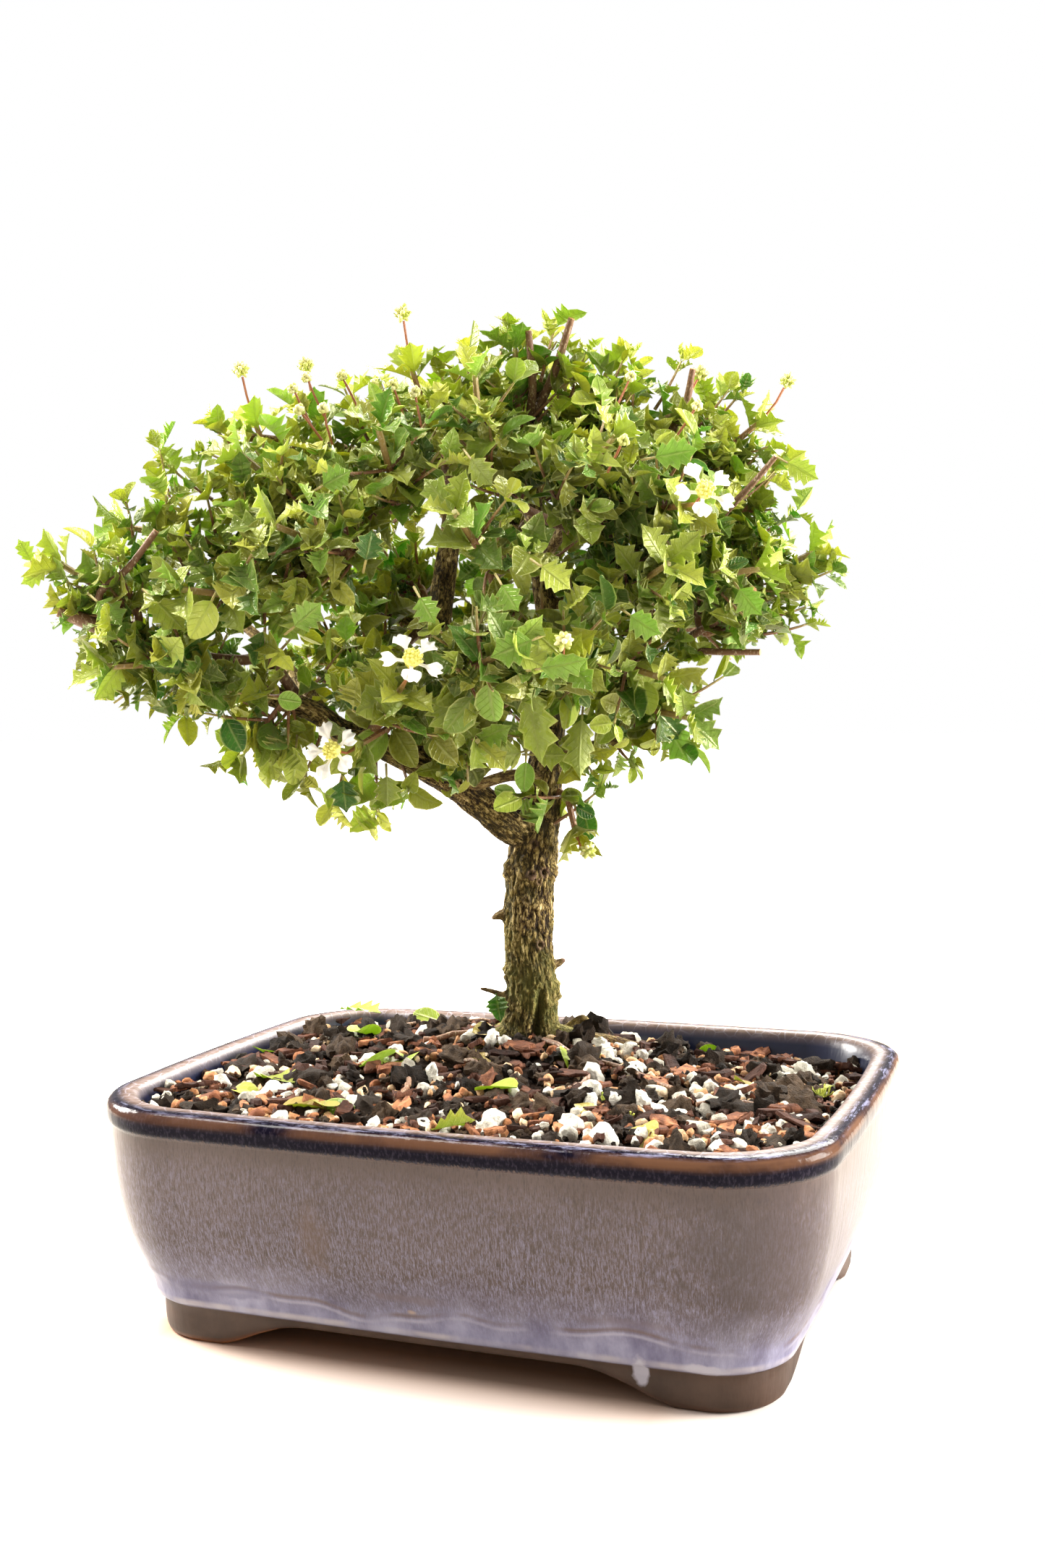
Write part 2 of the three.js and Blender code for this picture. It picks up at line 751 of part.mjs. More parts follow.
// The leaf on one side of a knot, bent clear of what already stands there, or null
function settleLeaf(index, knot, side, facet, isYoung, form) {
  const size = LEAF_LENGTH * (isYoung ? YOUNG_SHARE : 1);
  const length = size * (1 + spread(index, knot, side, LEAF_VARIATION));
  const usual = TILTS[side % 2] * (isYoung ? YOUNG_TILT : 1) + spread(index, knot, side + 4, 0.12);
  const twist = spread(index, knot, side + 8, 0.2);
  for (const [swing, turn] of VARIANTS) {
    const at = leafPlacer(facet, usual + swing, twist + turn, length);
    const samples = leafSamples({ at, form });
    if (!samples.some((p) => p.z < LEAVES_ABOVE || isNearSpot(p) || isNearRod(p, index))) {
      samples.forEach(addSpot);
      return { at, form };
    }
  }
  return null;
}

// What bears the buds and blooms: [along the stem, risen] in millimetres past its last knot
const STALKS = { bud: [[4, 0.5], [8, 2], [11, 4.5]], bloom: [[8, 0.8], [12, 3]] };
const BOWING = 0.07;
const LIFTING = 0.05;

function stemPlan(spray, index) {
  const { start, along, length } = stemOf(spray, index);
  const side = along.clone().cross(UP).normalize();
  const bow = spread(index, 7, 7, BOWING) * length;
  const onStem = (distance) => start.clone()
    .addScaledVector(along, distance)
    .addScaledVector(side, bow * (distance / length) ** 2)
    .addScaledVector(UP, LIFTING * length * (distance / length) ** 2);
  const points = [start];
  const radii = [TWIG_RADIUS];
  for (let knot = 0; knot < (spray.knots ?? KNOTS); knot++) {
    const middle = (knot + FIRST_KNOT) * KNOT_SPACING;
    for (const distance of [middle - KNOT_DEPTH, middle, middle + KNOT_DEPTH]) {
      points.push(onStem(distance));
      radii.push(TWIG_RADIUS * (1 - 0.1 * knot));
    }
  }
  const end = points.at(-1);
  for (const [forward, risen] of STALKS[spray.bears] ?? []) {
    points.push(end.clone().addScaledVector(along, forward).addScaledVector(UP, risen));
    radii.push(STALK_RADIUS);
  }
  return { points, radii, along };
}

// One leafy stem: a four-sided twig, with two crossed pairs of leaves at each knot. Its bands
// repeat as a bare length, the lower pair and the upper pair.
function leafyStem(spray, index, plan) {
  const rings = limbRings(plan.points, plan.radii, 4, [plan.along, null]);
  const points = rings.flat();
  const faces = [[0, 3, 2], [0, 2, 1]];
  const knots = spray.knots ?? KNOTS;
  for (let r = 0; r < rings.length - 1; r++) {
    const axis = plan.points[r + 1].clone().sub(plan.points[r]).normalize();
    const middle = plan.points[r].clone().lerp(plan.points[r + 1], 0.5);
    const knot = Math.floor(r / 3);
    const pair = r % 3 - 1;
    const isYoung = knot === knots - 1;
    const form = spray.at[2] < ROUND_LEAVES_BELOW && !isYoung ? ROUND : HOLLY;
    for (let side = 0; side < 4; side++) {
      const a = r * 4 + side;
      const b = r * 4 + (side + 1) % 4;
      const hasLeaf = knot < knots && pair === side % 2;
      const root = points[a].clone().lerp(points[b + 4], 0.5);
      const facet = { root, outward: root.clone().sub(middle).normalize(), axis };
      const leaf = hasLeaf ? settleLeaf(index, knot, side, facet, isYoung, form) : null;
      if (leaf) {
        addLeaf(points, faces, [{ upper: b + 4, lower: b }, { upper: a + 4, lower: a }], leaf);
      } else {
        faces.push([a, b, b + 4], [a, b + 4, a + 4]);
      }
    }
  }
  const last = (rings.length - 1) * 4;
  faces.push([last, last + 1, last + 2], [last, last + 2, last + 3]);
  return skin(points, faces);
}

// Bloom: five clawed, fringed petals round a yellow knob on a green neck
const BLOOM_RADIUS = 8.7;
const BLOOM_HOLE = 1.5;
const NECK_RADIUS = 1.0;
// [share of the radius, half-angle in degrees] down one side of a petal, from its middle
const PETAL = [[0.9, 0], [1, 22], [0.38, 14]];
const PETAL_MEETING = [0.27, 36];

function turnTo(geometry, direction, position) {
  const turn = new THREE.Quaternion().setFromUnitVectors(UP, direction);
  geometry.applyQuaternion(turn);
  geometry.translate(position.x, position.y, position.z);
  return geometry;
}

function petals() {
  const shape = new THREE.Shape();
  const outline = [];
  for (let petal = 0; petal < 5; petal++) {
    const sideways = [...PETAL.slice(1).map(([r, a]) => [r, -a]).toReversed(), ...PETAL, PETAL_MEETING];
    for (const [radius, degrees] of sideways) {
      const angle = THREE.MathUtils.degToRad(petal * 72 + degrees);
      outline.push(new THREE.Vector2(Math.cos(angle), Math.sin(angle)).multiplyScalar(radius * BLOOM_RADIUS));
    }
  }
  shape.setFromPoints(outline);
  const hole = new THREE.Path();
  hole.absarc(0, 0, BLOOM_HOLE, 0, Math.PI * 2, true);
  shape.holes.push(hole);
  const disc = new THREE.ExtrudeGeometry(shape, { depth: BLADE, bevelEnabled: false, curveSegments: 5 });
  const position = disc.attributes.position;
  for (let i = 0; i < position.count; i++) {
    const radius = Math.hypot(position.getX(i), position.getY(i)) / BLOOM_RADIUS;
    position.setZ(i, position.getZ(i) + 1.6 * radius * radius);
  }
  return disc;
}

function bloomHeart() {
  const profile = [
    [0, -2.2],
    [STALK_RADIUS + 0.3, -2.2],
    [1.9, -SEAT],
    [NECK_RADIUS, -SEAT],
    [NECK_RADIUS, BLADE + SEAT + 0.2],
    [2.1, BLADE + SEAT + 0.5],
    [2.3, 2.3],
    [0, 3.1],
  ].map(([radius, z]) => new THREE.Vector2(radius, z));
  const knob = new THREE.LatheGeometry(profile, 5);
  knob.rotateX(Math.PI / 2);
  return knob;
}

// Bud: a knobbed ball of packed flower buds
const BUD_RADIUS = 2.6;

function bud() {
  const ball = new THREE.IcosahedronGeometry(BUD_RADIUS, 0);
  ball.scale(1, 1, 0.9);
  return ball;
}

// Colours
const material = (color, roughness) => new THREE.MeshStandardMaterial({ color, roughness, metalness: 0 });
const GLAZE = material(0x75666a, 0.25);
const GRIT = material(0x5a4234, 0.95);
const BARK = material(0x6b5a42, 0.9);
const LEAF = material(0x4c7a2c, 0.4);
const WHITE = material(0xf4f2e8, 0.6);
const YELLOW = material(0xd8c430, 0.6);
const LIME = material(0xc9d46a, 0.6);

function named(name, geometry, finish) {
  const mesh = new THREE.Mesh(geometry, finish);
  mesh.name = name;
  return mesh;
}

const bonsai = new THREE.Group();
bonsai.add(named('pot', pot(), GLAZE));

// The buried foot of the trunk stands in a plain hole in the soil.
const standing = join([
  toSolid(limb(TRUNK.slice(0, 5), TRUNK_SIDES, SEAT, trunkFlute)),
  ...ROOTS.map((path) => toSolid(limb(path, LIMB_SIDES, SEAT))),
]);
bonsai.add(named('soil', soil(standing), GRIT));

const plans = SPRAYS.map((spray, index) => stemPlan(spray, index));
const branchlets = SPRAYS.map((spray, index) => {
  const { start, along } = stemOf(spray, index);
  return branchletPath(start, along);
});
[TRUNK, ...Object.values(LIMBS)].forEach((path) => {
  addRods(pathPoints(path), path.map((entry) => entry[3]), 'wood');
});
branchlets.forEach(({ points, radii }) => addRods(points, radii, 'wood'));
plans.forEach(({ points, radii }, index) => addRods(points, radii, index));

const wood = join([
  toSolid(limb(TRUNK, TRUNK_SIDES, 0, trunkFlute)),
  ...ROOTS.map((path) => toSolid(limb(path, LIMB_SIDES))),
  ...STUBS.map((path) => toSolid(limb(path, 5))),
  ...Object.values(LIMBS).map((path) => toSolid(limb(path, LIMB_SIDES))),
  ...branchlets.map(({ points, radii, ends }) => (
    toSolid(loft(limbRings(points, radii, BRANCHLET_SIDES, ends)))
  )),
]);
bonsai.add(named('trunk', fromSolid(wood), BARK));

const counts = { bud: 0, bloom: 0 };
SPRAYS.forEach((spray, index) => {
  const plan = plans[index];
  const label = String(index + 1).padStart(2, '0');
  bonsai.add(named(`spray_${label}`, leafyStem(spray, index, plan), LEAF));
  if (!spray.bears) {
    return;
  }
  counts[spray.bears] += 1;
  const end = plan.points.at(-1);
  const facing = end.clone().sub(plan.points.at(-2)).normalize();
  if (spray.bears === 'bud') {
    const middle = end.clone().addScaledVector(facing, BUD_RADIUS * 0.9 + SEAT);
    bonsai.add(named(`bud_${counts.bud}`, turnTo(bud(), facing, middle), LIME));
  } else {
    const middle = end.clone().addScaledVector(facing, 2.2 + SEAT);
    bonsai.add(named(`bloom_${counts.bloom}_petals`, turnTo(petals(), facing, middle), WHITE));
    bonsai.add(named(`bloom_${counts.bloom}_heart`, turnTo(bloomHeart(), facing, middle), YELLOW));
  }
});

// The origin is the middle of the bottom of the box round it all.
const box = new THREE.Box3().setFromObject(bonsai);
const centre = box.getCenter(new THREE.Vector3());
bonsai.position.set(-centre.x, -centre.y, -box.min.z);

export default bonsai;
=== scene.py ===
"""The looks of the dwarf holly bonsai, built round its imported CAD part."""
import math

import bmesh
import bpy
import numpy as np
from mathutils import Matrix, Vector, noise


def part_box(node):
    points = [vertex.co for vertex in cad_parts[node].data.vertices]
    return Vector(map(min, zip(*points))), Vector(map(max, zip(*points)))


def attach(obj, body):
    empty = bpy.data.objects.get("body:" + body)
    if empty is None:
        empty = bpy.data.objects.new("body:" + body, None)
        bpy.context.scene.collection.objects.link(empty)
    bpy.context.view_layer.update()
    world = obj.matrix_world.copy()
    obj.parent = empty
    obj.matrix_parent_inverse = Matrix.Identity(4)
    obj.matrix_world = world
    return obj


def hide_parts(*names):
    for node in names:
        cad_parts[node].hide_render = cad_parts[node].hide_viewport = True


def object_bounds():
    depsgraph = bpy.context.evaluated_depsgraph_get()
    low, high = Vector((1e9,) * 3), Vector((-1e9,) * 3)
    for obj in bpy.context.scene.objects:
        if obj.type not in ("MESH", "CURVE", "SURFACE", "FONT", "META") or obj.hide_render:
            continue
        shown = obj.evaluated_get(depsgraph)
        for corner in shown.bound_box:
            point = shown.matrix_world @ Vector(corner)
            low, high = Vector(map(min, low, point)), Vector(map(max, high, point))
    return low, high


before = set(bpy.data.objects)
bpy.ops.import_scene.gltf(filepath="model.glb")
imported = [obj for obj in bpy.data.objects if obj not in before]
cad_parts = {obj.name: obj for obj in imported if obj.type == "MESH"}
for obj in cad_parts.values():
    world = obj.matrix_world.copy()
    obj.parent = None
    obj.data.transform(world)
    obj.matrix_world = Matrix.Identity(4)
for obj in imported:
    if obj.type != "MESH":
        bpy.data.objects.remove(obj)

CAD_BOX = [list(corner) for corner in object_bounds()]

# The bark's noise vectors are offset by this seed
NOISE_SEED = 7
noise.seed_set(NOISE_SEED)

# Lengths are in millimetres, measured from the middle of the pot's footprint, until mesh() turns
# them into the frame's metres.
MM = 0.001
POT_LOW, POT_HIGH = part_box("pot")
POT_CENTRE = np.array([(POT_LOW.x + POT_HIGH.x) / 2, (POT_LOW.y + POT_HIGH.y) / 2, POT_LOW.z])

# Pot
POT_LENGTH = 203.2
POT_WIDTH = 156.4
POT_HEIGHT = 65.0
RIM_CORNER = 27.0
CORNER_TIGHTENING = 0.7
SIDE_SWELL = 3.0
FOOT_SPREAD = 62.0
FOOT_RISE = 24.0
GAP_HEIGHT = 7.5
DRAIN_RADIUS = 8.0
DRAIN_SPACING = 84.0

# Soil
SOIL_LEVEL = 61.0
MOUND_RISE = 4.0
MOUND_REACH = 30.0
LOW_CORNER_DROP = 4.5

# Tree
TRUNK_FOOT = np.array([-15.7, 45.6])
BEST_SIDE_TURN = math.radians(20.9)
LEAF_LENGTH = 16.0
KNOTS = 2
KNOT_SPACING = 13.5
FIRST_KNOT = 0.62
KNOT_DEPTH = 1.0
TWIG_RADIUS = 1.0
STALK_RADIUS = 0.38
HEART = (-12, -6, 180)
SHARP_EDGE = math.radians(55)
UP = np.array([0.0, 0.0, 1.0])
GOLDEN_ANGLE = math.radians(137.5)


def draw(a, b, c):
    """A repeatable draw from 0 to 1 for any three counters, the same as in the solids."""
    wave = math.sin(a * 12.9898 + b * 78.233 + c * 37.719) * 43758.5453
    return wave - math.floor(wave)


def spread(a, b, c, reach):
    return (draw(a, b, c) * 2 - 1) * reach


def unit(v):
    v = np.asarray(v, float)
    return v / np.maximum(np.linalg.norm(v, axis=-1, keepdims=True), 1e-9)


def rotation(angle, axis):
    return np.array(Matrix.Rotation(angle, 3, Vector(axis)))


def spoke(axis, angle, near=UP):
    """The direction square to an axis, turned about it from a fixed start."""
    start = unit(np.cross(axis, near + 0.01))
    return start * math.cos(angle) + np.cross(axis, start) * math.sin(angle)


def hill(x, middle, width):
    """1 at the middle, falling off smoothly over the width."""
    return np.exp(-((x - middle) / width) ** 2)


RIGHTWARD = np.array([math.cos(BEST_SIDE_TURN), math.sin(BEST_SIDE_TURN), 0])
BACKWARD = np.array([-RIGHTWARD[1], RIGHTWARD[0], 0])
FOOT = np.array([*TRUNK_FOOT, 0])


def place(spots):
    """Points so far to the right of, behind and above the trunk's foot, seen from its best side."""
    return FOOT + np.asarray(spots, float) @ np.array([RIGHTWARD, BACKWARD, UP])


def from_foot(points):
    """The reverse of place()."""
    return (np.asarray(points) - FOOT) @ np.array([RIGHTWARD, BACKWARD, UP]).T


# Meshes

class Build:
    """Points, faces and per-point values gathered for one piece."""

    def __init__(self):
        self.points, self.faces, self.slots = [], [], []
        self.values = {}
        self.count = 0

    def add(self, points, faces, slot=0, **values):
        points = np.asarray(points, float)
        self.points.append(points)
        for face in faces:
            self.faces.append([int(i) + self.count for i in face])
        self.slots.extend([slot] * len(faces))
        for name in set(values) | set(self.values):
            column = self.values.setdefault(name, [np.zeros(self.count)] if self.count else [])
            value = np.asarray(values.get(name, 0.0), float)
            column.append(np.broadcast_to(value, (len(points),)))
        self.count += len(points)

    def mesh(self, name, smooth=True):
        data = bpy.data.meshes.new(name)
        points = np.vstack(self.points) * MM + POT_CENTRE
        data.from_pydata(points.tolist(), [], self.faces)
        data.polygons.foreach_set("material_index", self.slots)
        if smooth:
            data.shade_smooth()
            data.set_sharp_from_angle(angle=SHARP_EDGE)
        for key, column in self.values.items():
            set_values(data, key, np.concatenate(column))
        data.update()
        return data


def set_values(data, name, values):
    data.attributes.new(name, "FLOAT", "POINT").data.foreach_set("value", values.astype(np.float32))


def in_scene(name, data):
    made = bpy.data.objects.new(name, data)
    bpy.context.scene.collection.objects.link(made)
    return made


def piece(name, data, materials, slot, *replaced):
    made = in_scene(name, data)
    for material in materials:
        data.materials.append(material)
    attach(made, "root")
    if replaced:
        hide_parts(*replaced)


def ring_faces(rings, sides):
    """Quads between rings of equal length, laid one after another."""
    faces = []
    for low in range(0, (rings - 1) * sides, sides):
        for i in range(sides):
            j = (i + 1) % sides
            faces.append((low + i, low + j, low + sides + j, low + sides + i))
    return faces


def capped_faces(rings, sides):
    """The same with a face over each end."""
    count = rings * sides
    return ring_faces(rings, sides) + [tuple(range(sides - 1, -1, -1)), tuple(range(count - sides, count))]


def path_axes(points, first=None):
    """Directions along, across and beside a path, turned as little as possible on the way."""
    points = np.asarray(points, float)
    along = unit(np.gradient(points, axis=0))
    if first is not None:
        along[0] = first
    across = np.array([1.0, 0, 0]) if abs(along[0][2]) > 0.9 else UP
    result = []
    for direction in along:
        across = unit(across - direction * (across @ direction))
        result.append(across)
    across = np.array(result)
    return along, across, np.cross(along, across)


def tube(points, radii, sides, flutes=1.0, first=None):
    """A closed tube: its points and faces."""
    _, across, beside = path_axes(points, first)
    angles = np.arange(sides) / sides * 2 * math.pi
    radii = np.asarray(radii, float)[:, None] * np.ones(sides) * flutes
    rings = (np.asarray(points)[:, None]
             + across[:, None] * (radii * np.cos(angles))[..., None]
             + beside[:, None] * (radii * np.sin(angles))[..., None])
    count = len(points) * sides
    vertices = np.vstack([rings.reshape(-1, 3), points[0], points[-1]])
    faces = ring_faces(len(points), sides)
    for i in range(sides):
        j = (i + 1) % sides
        faces.append((count, j, i))
        faces.append((count + 1, count - sides + i, count - sides + j))
    return vertices, faces


def per_ring(values, sides):
    """Values along a tube, one for each of its points."""
    return np.concatenate([np.repeat(values, sides), [values[0], values[-1]]])


def smooth_path(path, step):
    """A smooth curve through [right, back, height, radius] points: its places and radii."""
    path = np.array(path, float)
    padded = np.vstack([2 * path[0] - path[1], path, 2 * path[-1] - path[-2]])
    parts = []
    for i in range(1, len(path)):
        a, b, c, d = padded[i - 1:i + 3]
        steps = max(1, round(np.linalg.norm((c - b)[:3]) / step))
        t = (np.arange(steps) / steps)[:, None]
        parts.append(0.5 * (2 * b + (c - a) * t + (2 * a - 5 * b + 4 * c - d) * t ** 2
                            + (3 * b - a - 3 * c + d) * t ** 3))
    curve = np.vstack(parts + [path[-1:]])
    return place(curve[:, :3]), curve[:, 3]


# Materials. Colours are red, green and blue, and a ramp lists (position, colour) from dark to light.

OLIVE_LEAF = [(0.0, (0.042, 0.042, 0.008)), (0.5, (0.2, 0.203, 0.026)), (1.0, (0.5, 0.5, 0.085))]
GREEN_LEAF = [(0.0, (0.005, 0.04, 0.02)), (0.5, (0.03, 0.15, 0.03)), (1.0, (0.14, 0.4, 0.045))]
FRESH_LEAF = [(0.0, (0.45, 0.54, 0.05)), (1.0, (0.75, 0.75, 0.15))]
OLIVE_GLOW = (0.85, 0.87, 0.08)
GREEN_GLOW = (0.3, 0.75, 0.05)
LEAF_VEINS = (0.46, 0.5, 0.16)
LEAF_SPECKS = (0.5, 0.52, 0.26)
LEAF_RIM_AND_GLOW = (0.66, 0.66, 0.24)
LEAF_UNDERSIDE = (0.29, 0.33, 0.12)
DRY_LEAF = (0.52, 0.36, 0.13)
LEAF_SHEEN = (1.0, 1.0, 0.6)
LEAF_RIBS = 6.5

TWIG_BARK = [(0.0, (0.12, 0.06, 0.028)), (0.6, (0.25, 0.11, 0.045)), (1.0, (0.36, 0.33, 0.09))]
TWIG_FLECKS = (0.42, 0.32, 0.2)
FLOWER_STALK = (0.36, 0.12, 0.05)
TWIG_CUT = (0.55, 0.3, 0.13)
OLD_BARK = [
    (0.0, (0.02, 0.01, 0.003)), (0.2, (0.085, 0.05, 0.013)), (0.45, (0.21, 0.145, 0.045)),
    (0.7, (0.42, 0.305, 0.115)), (1.0, (0.78, 0.61, 0.31)),
]
YOUNG_BARK = (0.2, 0.11, 0.05)
BARK_MOSS = (0.26, 0.26, 0.06)
BARK_CUT = (0.3, 0.18, 0.12)

TAUPE = [(0.3, (0.06, 0.036, 0.029)), (0.7, (0.086, 0.056, 0.05))]
DARK_STREAK = (0.03, 0.019, 0.02)
LILAC = (0.225, 0.215, 0.325)
LAVENDER = [
    (0.3, (0.092, 0.084, 0.17)), (0.45, (0.18, 0.172, 0.275)), (0.6, (0.295, 0.29, 0.415)),
    (0.8, (0.41, 0.405, 0.535)),
]
RUN_OUTLINE = (0.11, 0.065, 0.05)
RUN_BRIM = (0.5, 0.48, 0.56)
WORN_SILL = (0.42, 0.38, 0.4)
NAVY = (0.004, 0.003, 0.009)
NAVY_FLECKS = (0.022, 0.018, 0.03)
NAVY_VEILS = (0.2, 0.2, 0.3)
# Copper along the collar's top: partly the glaze's colour, partly painted highlight
COPPER_AND_HIGHLIGHT = (0.115, 0.055, 0.031)
PALE_LIP = [(0.3, (0.085, 0.05, 0.034)), (0.52, (0.145, 0.095, 0.075)), (0.75, (0.25, 0.205, 0.22))]
LIP_CRACKS = (0.36, 0.33, 0.38)
INNER_GLAZE = (0.008, 0.011, 0.035)
BARE_CLAY = [(0.3, (0.04, 0.021, 0.013)), (0.7, (0.075, 0.041, 0.027))]
RUST = (0.42, 0.13, 0.03)
# Marks in the glaze, the first of them painted shade on the front near the right corner, and spills of glaze
# on the bare foot: [place, radii, amount, colour]
BROWN_MARK = (0.1, 0.06, 0.045)
MARKS_AND_PAINTED_SHADE = [
    ((88, -66, 40), (30, 26, 26), 0.75, (0.05, 0.033, 0.034)),
    ((-28, -76, 35), (6, 30, 12), 0.55, BROWN_MARK),
    ((-3, -70, 21.5), (13, 20, 1.8), 0.7, BROWN_MARK),
    ((52, -70, 22.0), (17, 20, 2.0), 0.7, BROWN_MARK),
    ((-3.7, -68, 17.5), (1.7, 20, 1.1), 0.9, (0.5, 0.32, 0.1)),
]
PALE_SPILL = (0.4, 0.38, 0.45)
SPILLS = [
    ((-59, -68, 17), (16, 25, 2.6), 0.55, (0.1, 0.09, 0.17)),
    ((54.5, -64, 9.3), (2.4, 14, 4.6), 0.9, PALE_SPILL),
    ((70, -64, 11.5), (7, 14, 1.8), 0.8, PALE_SPILL),
    ((-87, -64, 6), (7, 9, 5), 0.8, (0.26, 0.28, 0.34)),
]

# Mineral, woody and downy finishes: [ramp, scale, roughness, scale of the bumps, their depth in metres]
GRAINS = {
    "white_petal": ([(0.2, (0.8, 0.78, 0.72)), (0.8, (0.93, 0.92, 0.88))], 400, 0.55, 900, 0.0002),
    "yellow_stamen": ([(0.2, (0.6, 0.55, 0.06)), (0.8, (0.9, 0.86, 0.25))], 800, 0.6, 1500, 0.0002),
    "pale_bud": ([(0.1, (0.4, 0.47, 0.08)), (0.6, (0.7, 0.7, 0.25)), (0.9, (0.85, 0.8, 0.45))],
                 700, 0.5, 1200, 0.0002),
    "moss_sprout": ([(0.2, (0.2, 0.27, 0.03)), (0.8, (0.5, 0.52, 0.1))], 900, 0.7, 1500, 0.0002),
    "dark_grit": ([(0.1, (0.014, 0.008, 0.005)), (0.5, (0.042, 0.023, 0.014)), (0.9, (0.12, 0.06, 0.03))],
                  500, 0.95, 1500, 0.001),
    "pumice": ([(0.0, (0.3, 0.26, 0.2)), (0.35, (0.62, 0.58, 0.48)), (0.8, (0.9, 0.86, 0.75))],
               700, 0.95, 2200, 0.0008),
    "lava": ([(0.0, (0.01, 0.006, 0.003)), (0.5, (0.035, 0.022, 0.013)), (1.0, (0.12, 0.075, 0.042))],
             600, 0.85, 2000, 0.0012),
    "clay": ([(0.0, (0.16, 0.055, 0.025)), (0.35, (0.38, 0.16, 0.065)), (0.7, (0.6, 0.38, 0.2)),
              (1.0, (0.76, 0.6, 0.4))], 500, 0.9, 1800, 0.0005),
    "bark_chip": ([(0.0, (0.018, 0.007, 0.004)), (0.45, (0.06, 0.022, 0.012)), (0.8, (0.15, 0.055, 0.026)),
                   (1.0, (0.4, 0.17, 0.075))], 350, 0.8, 900, 0.0007),
}


class Finish:
    """A procedural material and the nodes that feed it. Scales are per metre."""

    def __init__(self, name):
        self.material = bpy.data.materials.new(name)
        self.material.use_nodes = True
        self.tree = self.material.node_tree
        self.shader = self.tree.nodes["Principled BSDF"]

    def node(self, kind, inputs=None, output=0, **settings):
        """Adds a node with values or other outputs on its inputs, and returns one of its outputs."""
        made = self.tree.nodes.new("ShaderNode" + kind)
        for key, value in settings.items():
            setattr(made, key, value)
        for key, value in (inputs or {}).items():
            self.put(made.inputs[key], value)
        return made.outputs[output]

    def put(self, socket, value):
        if isinstance(value, bpy.types.NodeSocket):
            self.tree.links.new(value, socket)
        elif socket.type == "RGBA":
            socket.default_value = (*value, 1)
        else:
            socket.default_value = value

    def set(self, **inputs):
        for key, value in inputs.items():
            self.put(self.shader.inputs[key.replace("_", " ")], value)

    def value(self, name):
        return self.node("Attribute", output="Fac", attribute_name=name)

    def noise(self, scale, detail=3.0, stretch=(1, 1, 1), roughness=0.55, at=None):
        at = at or self.node("TexCoord", output="Object")
        at = self.node("Mapping", {"Vector": at, "Scale": stretch})
        return self.node("TexNoise", {"Vector": at, "Scale": scale, "Detail": detail,
                                      "Roughness": roughness}, "Fac")

    def cracks(self, scale, at):
        """The distance to the nearest border between cells."""
        return self.node("TexVoronoi", {"Vector": at, "Scale": scale}, "Distance",
                         feature="DISTANCE_TO_EDGE")

    def ramp(self, source, stops):
        """A colour for each (position, (red, green, blue)) along a value."""
        output = self.node("ValToRGB", {"Fac": source})
        elements = output.node.color_ramp.elements
        while len(elements) < len(stops):
            elements.new(0.5)
        for element, (position, colour) in zip(elements, stops):
            element.position = position
            element.color = (*colour, 1)
        return output

    def level(self, source, low, high, start=0.0, end=1.0):
        """A value remapped from low..high to start..end, and held there."""
        return self.node("MapRange", {"Value": source, "From Min": low, "From Max": high,
                                      "To Min": start, "To Max": end})

    def mix(self, factor, a, b):
        return self.node("Mix", {0: factor, 6: a, 7: b}, 2, data_type="RGBA")

    def paint(self, share, colour):
        """Lays a colour over those before it, as far as the share says."""
        self.colour = self.mix(share, self.colour, colour)

    def math(self, operation, a, b=0.0):
        return self.node("Math", {0: a, 1: b}, operation=operation)

    def plus(self, a, b):
        return self.math("ADD", a, b)

    def times(self, a, b):
        return self.math("MULTIPLY", a, b)

    def apart(self, a, middle):
        """How far a value lies from the middle, either way."""
        return self.math("ABSOLUTE", self.plus(a, -middle))

    def spot(self, centre, radii, softness=0.6):
        """A ragged mask: 1 near a place in millimetres from the pot's middle, 0 past its radii."""
        centre = np.array(centre) * MM + POT_CENTRE
        at = self.node("Mapping", {"Vector": self.node("TexCoord", output="Object"), "Location": centre,
                                   "Scale": [r * MM for r in radii]}, vector_type="TEXTURE")
        reach = self.node("VectorMath", {0: at}, "Value", operation="LENGTH")
        ragged = self.plus(reach, self.level(self.noise(230, 3), 0.3, 0.7, -0.25, 0.25))
        return self.level(ragged, 1.0, 1.0 - softness)

    def bump(self, height, distance, strength=1.0):
        normal = self.node("Bump", {"Height": height, "Distance": distance, "Strength": strength})
        self.put(self.shader.inputs["Normal"], normal)
        return normal


